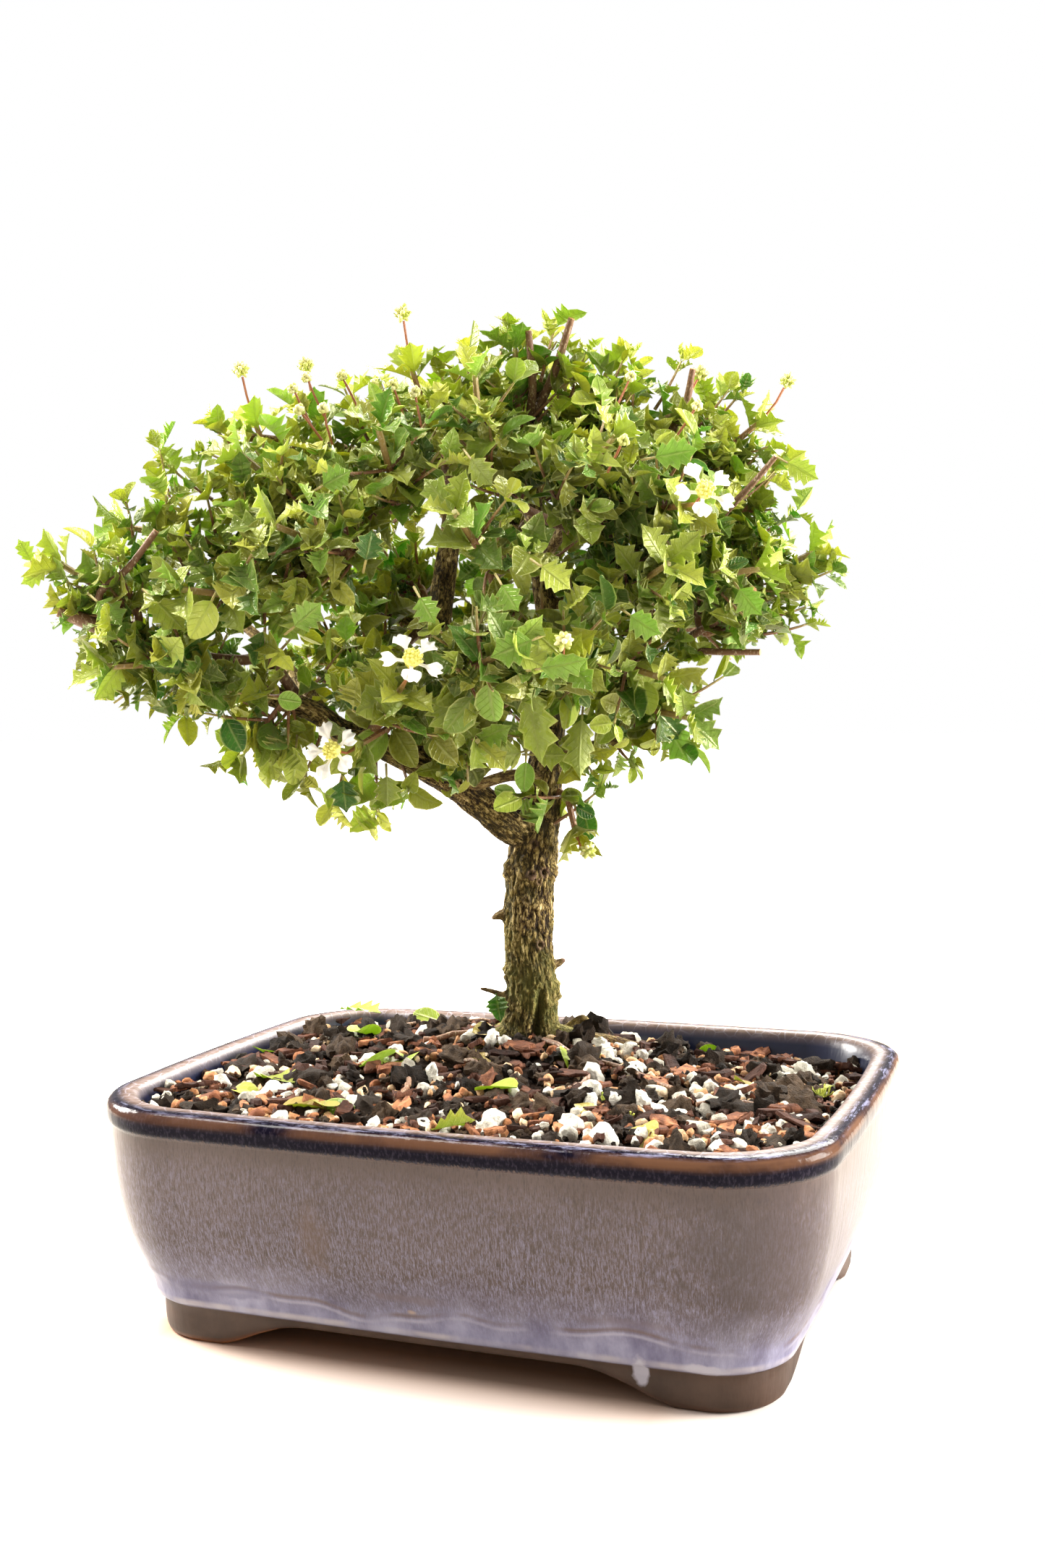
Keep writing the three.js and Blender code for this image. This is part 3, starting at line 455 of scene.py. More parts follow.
def leaf_finish():
    """Leaves from olive to deep green, lighter when young, with light shining through them."""
    f = Finish("holly_leaf")
    hue, under = f.value("hue"), f.value("under")
    tone = f.plus(f.value("tone"), f.level(f.noise(350), 0.3, 0.7, -0.15, 0.15))
    f.colour = f.mix(hue, f.ramp(tone, OLIVE_LEAF), f.ramp(tone, GREEN_LEAF))
    f.paint(f.value("young"), f.ramp(tone, FRESH_LEAF))
    rib_phase = f.math("FRACT", f.times(f.value("slant"), LEAF_RIBS))
    ribs = f.level(f.apart(rib_phase, 0.5), 0.4, 0.5)
    veins = f.math("MAXIMUM", f.level(f.value("vein"), 0.82, 1.0), f.times(ribs, 0.45))
    f.paint(f.times(veins, 0.45), LEAF_VEINS)
    specks = f.level(f.noise(1400, 2), 0.57, 0.67)
    f.paint(f.times(specks, f.level(under, 0, 1, 0.12, 0.4)), LEAF_SPECKS)
    # The pale rim is partly the leaf's pale margin and partly painted glow of light through its edge
    f.paint(f.level(f.value("rim"), 0.84, 0.98, 0.0, 0.7), LEAF_RIM_AND_GLOW)
    f.paint(f.value("dry"), DRY_LEAF)
    f.paint(f.times(under, 0.4), LEAF_UNDERSIDE)
    f.set(Base_Color=f.colour, Roughness=f.level(under, 0, 1, 0.27, 0.55), Specular_IOR_Level=0.75,
          Specular_Tint=LEAF_SHEEN)
    normal = f.bump(f.plus(f.noise(500, 4), f.times(veins, -0.6)), 0.0008, 0.6)
    glow_colour = f.mix(0.5, f.colour, f.mix(hue, OLIVE_GLOW, GREEN_GLOW))
    glow = f.node("BsdfTranslucent", {"Color": glow_colour, "Normal": normal})
    both = f.node("MixShader", {0: 0.4, 1: f.shader.outputs["BSDF"], 2: glow})
    f.put(f.tree.nodes["Material Output"].inputs["Surface"], both)
    return f.material


def twig_finish():
    f = Finish("young_twig")
    f.colour = f.ramp(f.value("young"), TWIG_BARK)
    f.paint(f.level(f.noise(1500, 2, (1, 1, 0.4)), 0.56, 0.7), TWIG_FLECKS)
    f.paint(f.value("stalk"), FLOWER_STALK)
    f.paint(f.value("cut"), TWIG_CUT)
    f.set(Base_Color=f.colour, Roughness=0.6)
    f.bump(f.noise(1200, 3), 0.0003)
    return f.material


def bark_finish():
    f = Finish("fissured_bark")
    at = f.node("CombineXYZ", {"X": f.value("grain_x"), "Y": f.value("grain_y"), "Z": f.value("grain_z")})
    crack = f.level(f.apart(f.noise(800, 3, (1, 1, 0.36), 0.65, at), 0.5), 0.0, 0.07, -0.5, 0.0)
    flakes = f.level(f.noise(700, 5, (1, 1, 0.4), 0.65, at), 0.25, 0.75, -0.4, 0.45)
    # The relief lightens the ridges and darkens the grooves, partly the bark's colour and partly painted
    # light and shade; it paints shade into the cleft and the scar hollows
    relief = f.plus(f.plus(f.value("ridge_and_painted_shade"), flakes), crack)
    f.colour = f.ramp(relief, OLD_BARK)
    moss = f.times(f.level(f.noise(60, 4), 0.42, 0.6), f.value("moss"))
    f.paint(f.times(moss, 0.5), BARK_MOSS)
    f.paint(f.times(f.value("young"), 0.5), YOUNG_BARK)
    f.paint(f.value("cut"), BARK_CUT)
    f.set(Base_Color=f.colour, Roughness=0.85, Specular_IOR_Level=0.3)
    f.bump(relief, 0.0008)
    return f.material


def grain_finish(name, stretch=(1, 1, 1)):
    """One of the grained finishes: its own noise, shifted by the piece's tone."""
    stops, scale, roughness, bump_scale, depth = GRAINS[name]
    f = Finish(name)
    grain = f.level(f.noise(scale, 4, stretch), 0.25, 0.75, -0.25, 0.25)
    colour = f.ramp(f.plus(f.value("tone"), grain), stops)
    f.set(Base_Color=colour, Roughness=roughness, Specular_IOR_Level=0.18)
    f.bump(f.noise(bump_scale, 5, stretch, 0.65), depth)
    return f.material


def collar_colour(f, at, flecks):
    """The collar under the lip: flecked navy, marbled above, with copper along its top that is partly the
    glaze's colour and partly painted highlight.
    """
    navy = f.mix(f.level(flecks, 0.5, 0.9), NAVY, NAVY_FLECKS)
    veils = f.level(f.noise(260, 5, (0.4, 0.4, 2.2), 0.7, at), 0.5, 0.62)
    navy = f.mix(f.times(f.value("marbled"), veils), navy, NAVY_VEILS)
    patchy_copper_and_highlight = f.level(f.noise(40, 4, (1, 1, 2), at=at), 0.32, 0.55)
    return f.mix(f.times(f.value("copper"), patchy_copper_and_highlight), navy, COPPER_AND_HIGHLIGHT)


def lip_colour(f, at):
    lip = f.ramp(f.noise(230, 5, roughness=0.7), PALE_LIP)
    return f.mix(f.level(f.cracks(240, at), 0.0, 0.06, 0.5, 0), lip, LIP_CRACKS)


def glaze_finish():
    """The pot: streaked taupe, a lavender run at the foot, a dark collar and a pale lip."""
    f = Finish("pot_glaze")
    run, collar, lip, bare = (f.value(name) for name in ("run", "collar", "lip", "bare"))
    at = f.node("CombineXYZ", {"X": f.value("rim_x"), "Y": f.value("rim_y"), "Z": f.value("down")})
    streaks = f.noise(2700, 3, (1, 1, 0.16), 0.75, at)
    mottles = f.noise(1500, 3, (1, 1, 0.4), 0.75, at)
    f.colour = f.ramp(f.noise(26, 3, (1, 1, 1.6), at=at), TAUPE)
    f.paint(f.level(streaks, 0.48, 0.34, 0, 0.75), DARK_STREAK)
    lilac = f.math("MAXIMUM", f.level(streaks, 0.48, 0.7), f.level(mottles, 0.5, 0.72, 0, 0.8))
    f.paint(f.times(lilac, f.value("mist")), LILAC)
    # The first of these marks is painted shade on the front near the right corner; the others are marks in
    # the glaze
    for centre, radii, amount, paint in MARKS_AND_PAINTED_SHADE:
        f.paint(f.times(f.spot(centre, radii), amount), paint)
    lavender = f.ramp(f.noise(80, 5, (1, 1, 0.6), 0.6, at), LAVENDER)
    f.paint(f.level(run, -12.0, 0.0, 0, 0.45), lavender)
    f.paint(f.level(run, -3.5, 4.0, 0, 0.85), lavender)
    patchy = f.level(f.noise(50, 3, at=at), 0.42, 0.56)
    f.paint(f.times(f.level(f.apart(run, -0.4), 0.1, 0.9, 0.7, 0), patchy), RUN_OUTLINE)
    f.paint(f.times(f.level(f.apart(run, 1.0), 0.1, 0.8, 0.3, 0), patchy), RUN_BRIM)
    f.paint(f.times(f.value("sill"), f.level(f.noise(70, 3, at=at), 0.4, 0.6, 0.15, 0.75)), WORN_SILL)
    flecks = f.level(f.noise(1500, 3, (1, 1, 0.5), at=at), 0.3, 0.7)
    ragged_collar = f.plus(collar, f.times(f.plus(flecks, -0.5), 0.7))
    f.paint(f.level(ragged_collar, 0.35, 0.65), collar_colour(f, at, flecks))
    f.paint(lip, lip_colour(f, at))
    f.paint(f.value("inside"), INNER_GLAZE)
    f.paint(bare, f.ramp(f.noise(90, 4), BARE_CLAY))
    for centre, radii, amount, paint in SPILLS:
        f.paint(f.times(f.spot(centre, radii, 0.35), amount), paint)
    f.paint(f.value("rust"), RUST)
    sheen = f.level(f.math("MAXIMUM", bare, lip), 0, 1, 0.3, 0.5)
    gloss = f.times(collar, f.level(lip, 0, 1, 1, 0))
    coat = f.level(f.math("MAXIMUM", bare, collar), 0, 1, 0.15, 0.0)
    f.set(Base_Color=f.colour, Roughness=f.level(gloss, 0, 1, sheen, 0.14),
          Specular_IOR_Level=f.level(collar, 0, 1, 0.35, 0.06), Coat_Weight=coat, Coat_Roughness=0.15)
    f.bump(f.noise(260, 3, (1, 1, 0.3)), 0.0004, 0.5)
    return f.material


# Pot

CORNER_STEPS = 22
SIDE_STEPS = 60


def outline(inset, z):
    """The pot's outline at one height: a rounded rectangle with swelling sides."""
    swell = SIDE_SWELL * (0.2 + 0.8 * z / POT_HEIGHT)
    half_x = POT_LENGTH / 2 - inset - swell
    half_y = POT_WIDTH / 2 - inset - swell
    radius = max(RIM_CORNER - CORNER_TIGHTENING * inset, 0.5)
    ring = []
    for corner, (sign_x, sign_y) in enumerate([(1, 1), (-1, 1), (-1, -1), (1, -1)]):
        middle = np.array([sign_x * (half_x - radius), sign_y * (half_y - radius)])
        turn = (corner + np.arange(CORNER_STEPS + 1) / CORNER_STEPS) * math.pi / 2
        ring.append(middle + radius * np.column_stack([np.cos(turn), np.sin(turn)]))
        on_x = sign_x * sign_y > 0
        after = middle * (np.array([-1, 1]) if on_x else np.array([1, -1]))
        after = after + radius * np.array([math.cos(turn[-1]), math.sin(turn[-1])])
        t = (np.arange(1, SIDE_STEPS) / SIDE_STEPS)[:, None]
        ring.append(ring[-1][-1] * (1 - t) + after * t)
    x, y = np.vstack(ring).T
    return np.column_stack([
        x * (1 + swell / half_x * (1 - (y / half_y) ** 2)),
        y * (1 + swell / half_y * (1 - (x / half_x) ** 2)),
        np.full(len(x), float(z)),
    ])


# [drawn in from the rim's edge, height], down the outside from the inner edge of the lip
WALL_PROFILE = [
    (8.6, 61.6), (7.6, 63.9), (6.4, 64.9), (5.0, 65.0), (3.0, 65.0), (1.6, 64.8), (0.6, 64.0), (0.1, 62.9),
    (0.0, 61.8), (0.1, 60.4), (0.35, 59.2), (0.75, 58.4), (1.15, 57.9), (1.25, 57.2), (1.3, 55.5),
    (1.6, 52.5), (1.9, 49.3), (2.3, 46.0), (2.8, 42.5), (3.4, 39.0), (4.1, 35.8), (4.9, 32.4), (6.0, 28.8),
    (7.2, 25.4), (8.6, 22.2), (9.9, 19.6), (11.0, 17.6), (11.9, 15.6), (12.5, 13.6), (12.8, 12.0),
    (13.2, 10.9), (14.0, 10.2),
]
FOOT_PROFILE = [(14.6, 9.6), (14.75, 7.0), (15.0, 4.0), (15.3, 2.0), (15.7, 0.9), (16.7, 0.0)]
ARCH = [(0, 0), (0.22, 0.22), (0.5, 0.6), (0.78, 0.9), (1, 1)]
LIP_EDGE = 3.2
OUTER_EDGE = 6
GLAZE_SWELL = 0.35
# Rings below the lip on the inside, as in WALL_PROFILE
INNER_RINGS = [(16.5, 42.0), (11.5, 50.0), (9.4, 58.0)]
FOOT_INSET = 25.0
FLOOR_LOW = 8.5
FLOOR_HIGH = 14.5
# Height of the run's wavy upper edge, and its waves: [height, number round the pot, phase]
RUN_HEIGHT = 17.2
RUN_WAVES = [(1.5, 5, 1.0), (1.0, 13, 2.2), (0.6, 29, 0.0)]
NO_RUN = -9.0
# Shares of the glaze's looks at heights on the wall, or at steps down its profile: [places, shares]
COLLAR_AT = ([57.7, 59.3], [0, 1])
MIST_AT = ([20, 34, 50, 56], [1, 0.8, 0.45, 0.05])
COPPER_AND_HIGHLIGHT_AT = ([61.6, 62.6, 64.0, 64.7], [0, 1, 1, 0])
MARBLED_AT = ([63.8, 64.6], [0, 1])
SILL_AT = ([10.6, 11.2, 12.2, 12.8], [0.4, 1, 1, 0])
LIP_AT_STEP = ([0, 1.5, LIP_EDGE, LIP_EDGE + 1], [0, 1, 1, 0])
# The copper, which is partly painted highlight, and the marbling grow to the right, from and to these places
# in metres
COPPER_AND_HIGHLIGHT_ALONG = ([-0.08, 0.05], [0.6, 1])
MARBLED_ALONG = ([-0.08, 0.0], [0.4, 1])


def arch_height(x, y):
    """How high the foot's lower edge is lifted at a point of the ring."""
    along, lift = zip(*ARCH)
    short_span = FOOT_SPREAD - (POT_LENGTH - POT_WIDTH) / 2
    long_lift = np.interp((FOOT_SPREAD - np.abs(x)) / FOOT_RISE, along, lift, left=0)
    short_lift = np.interp((short_span - np.abs(y)) / FOOT_RISE, along, lift, left=0)
    on_long_side = np.abs(y) / POT_WIDTH > np.abs(x) / POT_LENGTH
    return GAP_HEIGHT * np.where(on_long_side, long_lift, short_lift)


def run_boundary(x, y):
    turn = np.arctan2(y / POT_WIDTH, x / POT_LENGTH)
    return RUN_HEIGHT + sum(high * np.sin(number * turn + phase) for high, number, phase in RUN_WAVES)


def pot_piece():
    build = Build()
    keys = ("run", "mist", "collar", "copper", "marbled", "lip", "sill", "inside", "bare", "rust",
            "rim_x", "rim_y", "down")
    rings, values = [], {key: [] for key in keys}
    profile = np.array(WALL_PROFILE)
    rim_x, rim_y, _ = (outline(0, POT_HEIGHT) * MM).T

    def add_ring(points, **shares):
        rings.append(points)
        shares.setdefault("run", NO_RUN)
        shares.update(rim_x=rim_x, rim_y=rim_y)
        for key, column in values.items():
            column.append(np.broadcast_to(np.asarray(shares.get(key, 0.0), float), (len(points),)))

    for inset, z in INNER_RINGS:
        add_ring(outline(inset, z), inside=1.0)
    steps = np.arange(0, len(profile) - 1, 0.5)
    insets, heights = (np.interp(steps, np.arange(len(profile)), column) for column in profile.T)
    down = np.concatenate([[0], np.cumsum(np.hypot(np.diff(insets), np.diff(heights)))])
    for step, inset, z, depth in zip(steps, insets, heights, down):
        ring = outline(inset, z)
        outside = float(step > OUTER_EDGE)
        run = np.where(outside, run_boundary(ring[:, 0], ring[:, 1]) - z, NO_RUN)
        swollen = GLAZE_SWELL / (1 + np.exp(-run * 1.6)) + 0.25 * hill(run, 0.6, 0.8)
        ring = ring + unit(ring - np.array([0, 0, z])) * (swollen * outside)[:, None]
        add_ring(ring, run=run, down=depth * MM, inside=max(0.0, 1 - step / 1.5),
                 collar=np.interp(z, *COLLAR_AT) if outside or step > LIP_EDGE else 0,
                 mist=np.interp(z, *MIST_AT),
                 copper=np.interp(z, *COPPER_AND_HIGHLIGHT_AT) * np.interp(rim_x, *COPPER_AND_HIGHLIGHT_ALONG),
                 marbled=np.interp(z, *MARBLED_AT) * np.interp(rim_x, *MARBLED_ALONG),
                 lip=np.interp(step, *LIP_AT_STEP),
                 sill=np.interp(z, *SILL_AT) * outside)
    waist = FOOT_PROFILE[0][1]
    for inset, z in FOOT_PROFILE:
        ring = outline(inset, z)
        lifted = arch_height(ring[:, 0], ring[:, 1])
        ring[:, 2] = lifted + z * (waist - lifted) / waist
        add_ring(ring, bare=1.0, rust=np.clip(1 - z / 1.2, 0, 1) * np.where(ring[:, 0] < 0, 0.8, 0.2))
    foot_inner = outline(FOOT_INSET, 0.0)
    foot_inner[:, 2] = arch_height(foot_inner[:, 0], foot_inner[:, 1])
    add_ring(foot_inner, bare=1.0)
    floor_edge = outline(FOOT_INSET, FLOOR_LOW)
    plate = floor_plate(floor_edge, FLOOR_LOW, FLOOR_HIGH)
    floor_edge[:, 2] = np.maximum(FLOOR_LOW, foot_inner[:, 2] + 0.3)
    add_ring(floor_edge, bare=1.0)
    faces = [face[::-1] for face in ring_faces(len(rings), len(rings[0]))]
    build.add(np.vstack(rings), faces, **{key: np.concatenate(column) for key, column in values.items()})
    build.add(*plate, run=NO_RUN, bare=1.0)
    piece("glazed_pot", build.mesh("glazed_pot"), [glaze_finish()], "glaze", "pot")


def floor_plate(edge, low, high):
    """A plate with two round holes, its edge a little outside the foot's inner ring."""
    plate = bmesh.new()
    turn = np.arange(32) / 32 * 2 * math.pi
    hole = DRAIN_RADIUS * np.column_stack([np.cos(turn), np.sin(turn)])
    rims = [edge[:, :2] * 1.01] + [hole + [side * DRAIN_SPACING / 2, 0] for side in (-1, 1)]
    loops = [[[plate.verts.new((x, y, z)) for x, y in rim] for z in (low, high)] for rim in rims]
    for side in (0, 1):
        edges = []
        for loop in loops:
            ring = loop[side]
            edges += [plate.edges.new((ring[i - 1], ring[i])) for i in range(len(ring))]
        bmesh.ops.triangle_fill(plate, use_beauty=True, edges=edges)
    for lower, upper in loops:
        for i in range(len(lower)):
            plate.faces.new((lower[i - 1], lower[i], upper[i], upper[i - 1]))
    bmesh.ops.recalc_face_normals(plate, faces=plate.faces)
    plate.verts.index_update()
    points = np.array([vertex.co for vertex in plate.verts])
    faces = [[v.index for v in face.verts] for face in plate.faces]
    plate.free()
    return points, faces


# Wood: paths are lists of [right, back, height, radius], measured from the trunk's foot.

TRUNK = [
    (1.6, 0, 40, 6), (1.8, 0, 56, 9.2), (2.2, 0, 64.5, 9.7), (2.3, 0, 69, 8.9), (2.5, 0, 76, 8.3),
    (2.7, 0, 84, 7.9), (1.9, 0, 95, 8.0), (2.4, 0, 107, 8.0), (3.1, 0, 118, 7.9), (4.9, 0, 129, 7.6),
    (6.7, 0, 139, 6.3), (8.5, 0, 151, 5.6), (10.2, 0, 163, 4.6), (10.8, 0, 185, 3.9),
    (8.2, 0, 207, 3.5), (5.7, 0, 229, 3.1), (6.0, 0, 250, 2.6), (8.3, 0, 268, 2.0),
]
LIMBS = [
    [(5, 0, 126, 4.5), (-3, -4, 131, 5.8), (-13, -8, 139.5, 5.4), (-24.5, -14, 148, 4.8),
     (-41.5, -20, 157, 4.1), (-53, -24, 161.5, 3.8), (-60, -26, 167, 3.5), (-73, -30, 172.5, 3.3),
     (-83, -34, 177, 3.0), (-93, -38, 181, 2.6), (-110, -43, 188.5, 2.1), (-126, -49, 196.5, 1.7)],
    [(-30, -16, 150, 3.6), (-28, -13, 164, 4.3), (-25.5, -8, 181, 4.2), (-22.5, -2, 206, 3.9),
     (-19.5, 2, 228, 3.2), (-20, -1, 244, 2.4), (-23, -3, 256, 1.8)],
    [(-20, 0, 226, 2.4), (-24, -4, 233, 2.6), (-31, -9, 235, 2.4), (-38, -20, 229, 2.2),
     (-45, -30, 222, 1.9), (-48, -38, 214.5, 1.6)],
    [(-20, 1, 232, 2.2), (-34, 2, 242, 2.3), (-50, -4, 247, 2.0), (-68, -12, 249, 1.7), (-84, -18, 250, 1.4)],
    [(9, 0, 152, 2.2), (17, -1, 153.5, 2.2), (28, -4, 156, 2.0), (38.5, -8, 157.5, 1.8), (45, -10, 161, 1.5)],
    [(9.5, 0, 196, 2.4), (22, -3, 203, 2.5), (40, -7, 208, 2.2), (54, -8, 209, 1.9), (66, -9, 207, 1.5)],
    [(6, 0, 238, 2.0), (14, -6, 245, 2.1), (27, -10, 250, 1.9), (42, -5, 252, 1.7), (58, 0, 252, 1.4)],
    [(10.5, -1, 170, 2.4), (7, -14, 176, 2.6), (1, -32, 183, 2.2), (-5, -48, 187, 1.8), (-9, -60, 189, 1.4)],
    [(7.5, 0, 212, 2.2), (14, -14, 220, 2.2), (22, -30, 224, 1.8), (30, -44, 225, 1.4)],
    [(10.3, 0, 163, 2.6), (-4, 15, 177, 2.8), (-22, 30, 189, 2.5), (-42, 38, 199, 2.1), (-60, 36, 207, 1.6)],
    [(9, 0, 188, 2.4), (22, 16, 199, 2.6), (38, 30, 210, 2.2), (54, 38, 218, 1.8), (66, 38, 224, 1.4)],
    [(8, 0, 208, 2.2), (4, 16, 220, 2.3), (-2, 32, 228, 1.9), (-8, 44, 234, 1.4)],
    [(-56, -25, 164, 2.2), (-66, -12, 176, 2.3), (-80, 0, 190, 1.9), (-92, 6, 200, 1.5)],
]
ROOTS = [
    [(3, 0, 62, 6), (9, -3, 64.6, 4.4), (17, -6, 64.4, 2.8), (27, -7, 63.6, 1.9), (36, -6, 61.5, 1.2)],
    [(-3, -2, 62, 6), (-8, -4, 64.0, 4.0), (-14, -7, 62.5, 2.4), (-19, -9, 60, 1.5)],
    [(2, 2, 62, 6), (6, 8, 64.2, 4.0), (9, 13, 62.5, 2.2), (11, 17, 60, 1.4)],
    [(-2, 2, 62, 6), (-7, 8, 63.8, 3.8), (-11, 14, 61.5, 2.0)],
]
STUBS = [
    [(0, -1, 103, 2.4), (-6.6, -1.3, 102.8, 1.7), (-9.4, -1.5, 101.6, 0.6)],
    [(4, -1, 84, 1.6), (11.5, -1.5, 87.5, 1.3), (13.4, -1.7, 88.5, 0.8)],
    [(3, -3, 114, 1.4), (3.5, -8.4, 115.5, 0.8)],
    [(-2, -2, 76, 1.2), (-9.5, -3, 79, 0.9), (-13.5, -4, 80.2, 0.6)],
]
# A root's knee, and a small limb that crosses in front of the trunk with its pruned shoot
SMALL_WOOD = [
    [(8, 0, 62, 2.8), (14.5, 0, 66.8, 1.6), (18.7, -0.5, 69.8, 1.3), (20.4, -1, 66, 1.3),
     (20.8, -1.5, 60, 1.2)],
    [(8, -2, 146, 2.3), (-2.9, -11, 146.8, 1.9), (-14, -15, 144.5, 1.7), (-16, -17, 150, 1.5),
     (-20, -19, 160, 1.1)],
]
# Twigs that show between the leaves, cut off at their last point
PRUNED = [
    [(52, -22, 188, 1.3), (61.8, -30, 194, 1.2), (68.8, -36, 200.8, 1.1)],
    [(26, -22, 204, 1.4), (27, -37, 215.6, 1.2), (20, -49, 230.4, 1.0)],
    [(50, -18, 184, 1.1), (59, -26, 183, 1.0), (71, -32, 182.5, 0.9)],
    [(-104, -41, 186, 2.3), (-117, -48, 192, 2.3), (-128, -51, 197, 2.0)],
    [(-64, -27, 170, 1.8), (-72, -34, 182, 1.7), (-80, -40, 182.5, 1.5), (-90, -42, 183.6, 1.3)],
    [(-110, -45, 190, 1.4), (-116, -54, 200, 1.1), (-107, -56, 208, 1.0), (-99, -56, 218, 0.9)],
    [(-21, -8, 228, 1.5), (-20, -34, 241, 1.1)],
    [(5, -2, 256, 1.5), (6, -8, 266, 1.3), (5, -12, 281, 1.0)],
    [(7, -2, 258, 1.5), (13, -8, 270, 1.3), (18, -14, 284, 1.0)],
    [(47, -5, 250, 1.5), (52, -12, 258, 1.2), (54, -16, 268, 0.9)],
    [(60, -14, 222, 1.3), (70, -22, 232, 1.0), (77, -26, 240, 0.8)],
]
# Scars in the trunk's bark: [right, back, height, size, depth of the hollow]
SCARS = [
    (3.2, -8, 116, 1.6, 0.9), (5.6, -8, 113.6, 1.3, 1.0), (7.4, -7, 116.4, 1.9, 1.0),
    (1.6, -8, 108, 1.4, 0.4), (5.8, -7.5, 94, 1.7, 1.0), (4.2, -7.5, 125.4, 1.5, 0.5),
    (0.4, -8, 116, 1.4, 0.3), (10.6, -2, 79, 2.6, 0.2), (-5.6, -1, 84, 2.2, 0.3), (9.8, -3, 116, 2.0, 0.2),
    (-4.4, -2, 117, 2.4, 0.1), (-3.5, 6, 98, 2.0, 0.6), (8.5, 5, 108, 1.8, 0.6),
]
FLUTE_DEPTH = 0.16
FLUTED_HEIGHT = 100.0
FLUTED_REACH = 44.0
SEEN_BELOW = 160.0
FINE_VOXEL = 0.00049
COARSE_VOXEL = 0.0009
FISSURE_SPACING = 1.3
FISSURE_LENGTH = 6.5
FISSURE_DEPTH = 0.7
LUMP_SPACING = 5.0
LUMP_LENGTH = 9.0
LUMP_DEPTH = 0.55
CLEFT_DEPTH = 4.2
CLEFT_TOP = 82.0
CLEFT_WIDTH = 1.3
CLEFT_FOOT_RIGHT = 3.0
CLEFT_FOOT_HEIGHT = 64.0
CLEFT_LEAN = 0.2

# Leafy stems, as in the solids: the middle, the knots, the way it grows and what its tip bears
SPRAYS = [
    dict(at=(-118, -46, 203), reach=(-0.85, -0.05, 0.5)),
    dict(at=(-103, -53, 181), reach=(-0.75, -0.3, -0.1)),
    dict(at=(-101, -34, 219)),
    dict(at=(-71, -22, 239), bears="bud"),
    dict(at=(-54, -14, 241), bears="bud"),
    dict(at=(-26, -12, 256), bears="bud", reach=(-0.2, -0.3, 0.9)),
    dict(at=(1, -4, 264), reach=(-0.1, -0.2, 1)),
    dict(at=(24, 0, 258)),
    dict(at=(37, -11, 247), bears="bud", reach=(0.65, 0, 0.45)),
    dict(at=(65, 0, 245), bears="bud"),
    dict(at=(73, 0, 229)),
    dict(at=(80, -8, 208), reach=(0.9, 0, 0.35)),
    dict(at=(68, -14, 194)),
    dict(at=(43, -22, 165), reach=(0.5, -0.8, -0.2)),
    dict(at=(16, -7, 134), knots=1, bears="bud", reach=(0.2, -0.3, -0.85)),
    dict(at=(-16, -30, 161), reach=(0.2, -0.8, -0.3)),
    dict(at=(-38.5, -35, 161.5), bears="bloom", reach=(-0.4, -0.7, -0.35)),
    dict(at=(-74, -34, 163), reach=(-0.5, 0.1, -0.6)),
    dict(at=(-82, -58, 200)),
    dict(at=(-56, -60, 214)),
    dict(at=(-68, -44, 232)),
    dict(at=(-34, -56, 168.5), bears="bloom", reach=(0.3, -0.9, 0.25)),
    dict(at=(-36, -46, 237)),
    dict(at=(-8, -70, 180)),
    dict(at=(-12, -60, 214)),
    dict(at=(-10, -36, 250)),
    dict(at=(13.5, -60, 181.5), bears="bud", reach=(0, -0.9, -0.15)),
    dict(at=(20, -48, 234)),
    dict(at=(37, -50, 203)),
    dict(at=(43, -46, 223), bears="bloom", reach=(0.25, -0.9, -0.15)),
    dict(at=(34, -32, 178)),
    dict(at=(59, -32, 205)),
    dict(at=(-70, 22, 222)),
    dict(at=(-62, 24, 190)),
    dict(at=(-40, 42, 212)),
    dict(at=(-28, 26, 170)),
    dict(at=(-8, 42, 196)),
    dict(at=(0, 40, 226)),
    dict(at=(12, 26, 252)),
    dict(at=(28, 46, 206)),
    dict(at=(38, 34, 236)),
    dict(at=(32, 22, 176)),
    dict(at=(66, 26, 203)),
]
STALKS = {"bud": [(4, 0.5), (8, 2), (11, 4.5)], "bloom": [(8, 0.8), (12, 3)]}
STEM_LEAN = 0.55
STEM_RISE = 0.2
STEM_BOW = 0.07
FORK_SHARES = (0, 0.25, 0.5, 0.75)
LEAST_REACH = 5


def stem_of(spray, index):
    """The start, direction and length of a leafy stem."""
    middle = place(spray["at"])
    if "reach" in spray:
        along = unit(place(np.add(spray["at"], spray["reach"])) - middle)
    else:
        away = unit(middle - place(HEART))
        lean = rotation(draw(index, 3, 9) * 2 * math.pi, away) @ np.cross(away, UP)
        along = unit(away + lean * STEM_LEAN + UP * STEM_RISE)
    length = (spray.get("knots", KNOTS) - 1 + FIRST_KNOT) * KNOT_SPACING
    return middle - along * length / 2, along, length


def stem_plan(spray, index):
    start, along, length = stem_of(spray, index)
    side = unit(np.cross(along, UP))
    bow = spread(index, 7, 7, STEM_BOW) * length

    def on_stem(distance):
        bend = (distance / length) ** 2
        return start + along * distance + side * bow * bend + UP * 0.05 * length * bend

    points, radii = [start], [TWIG_RADIUS]
    for knot in range(spray.get("knots", KNOTS)):
        middle = (knot + FIRST_KNOT) * KNOT_SPACING
        for distance in (middle - KNOT_DEPTH, middle, middle + KNOT_DEPTH):
            points.append(on_stem(distance))
            radii.append(TWIG_RADIUS * (1 - 0.1 * knot))
    end = points[-1]
    for forward, risen in STALKS.get(spray.get("bears"), []):
        points.append(end + along * forward + UP * risen)
        radii.append(STALK_RADIUS)
    return np.array(points), radii, along


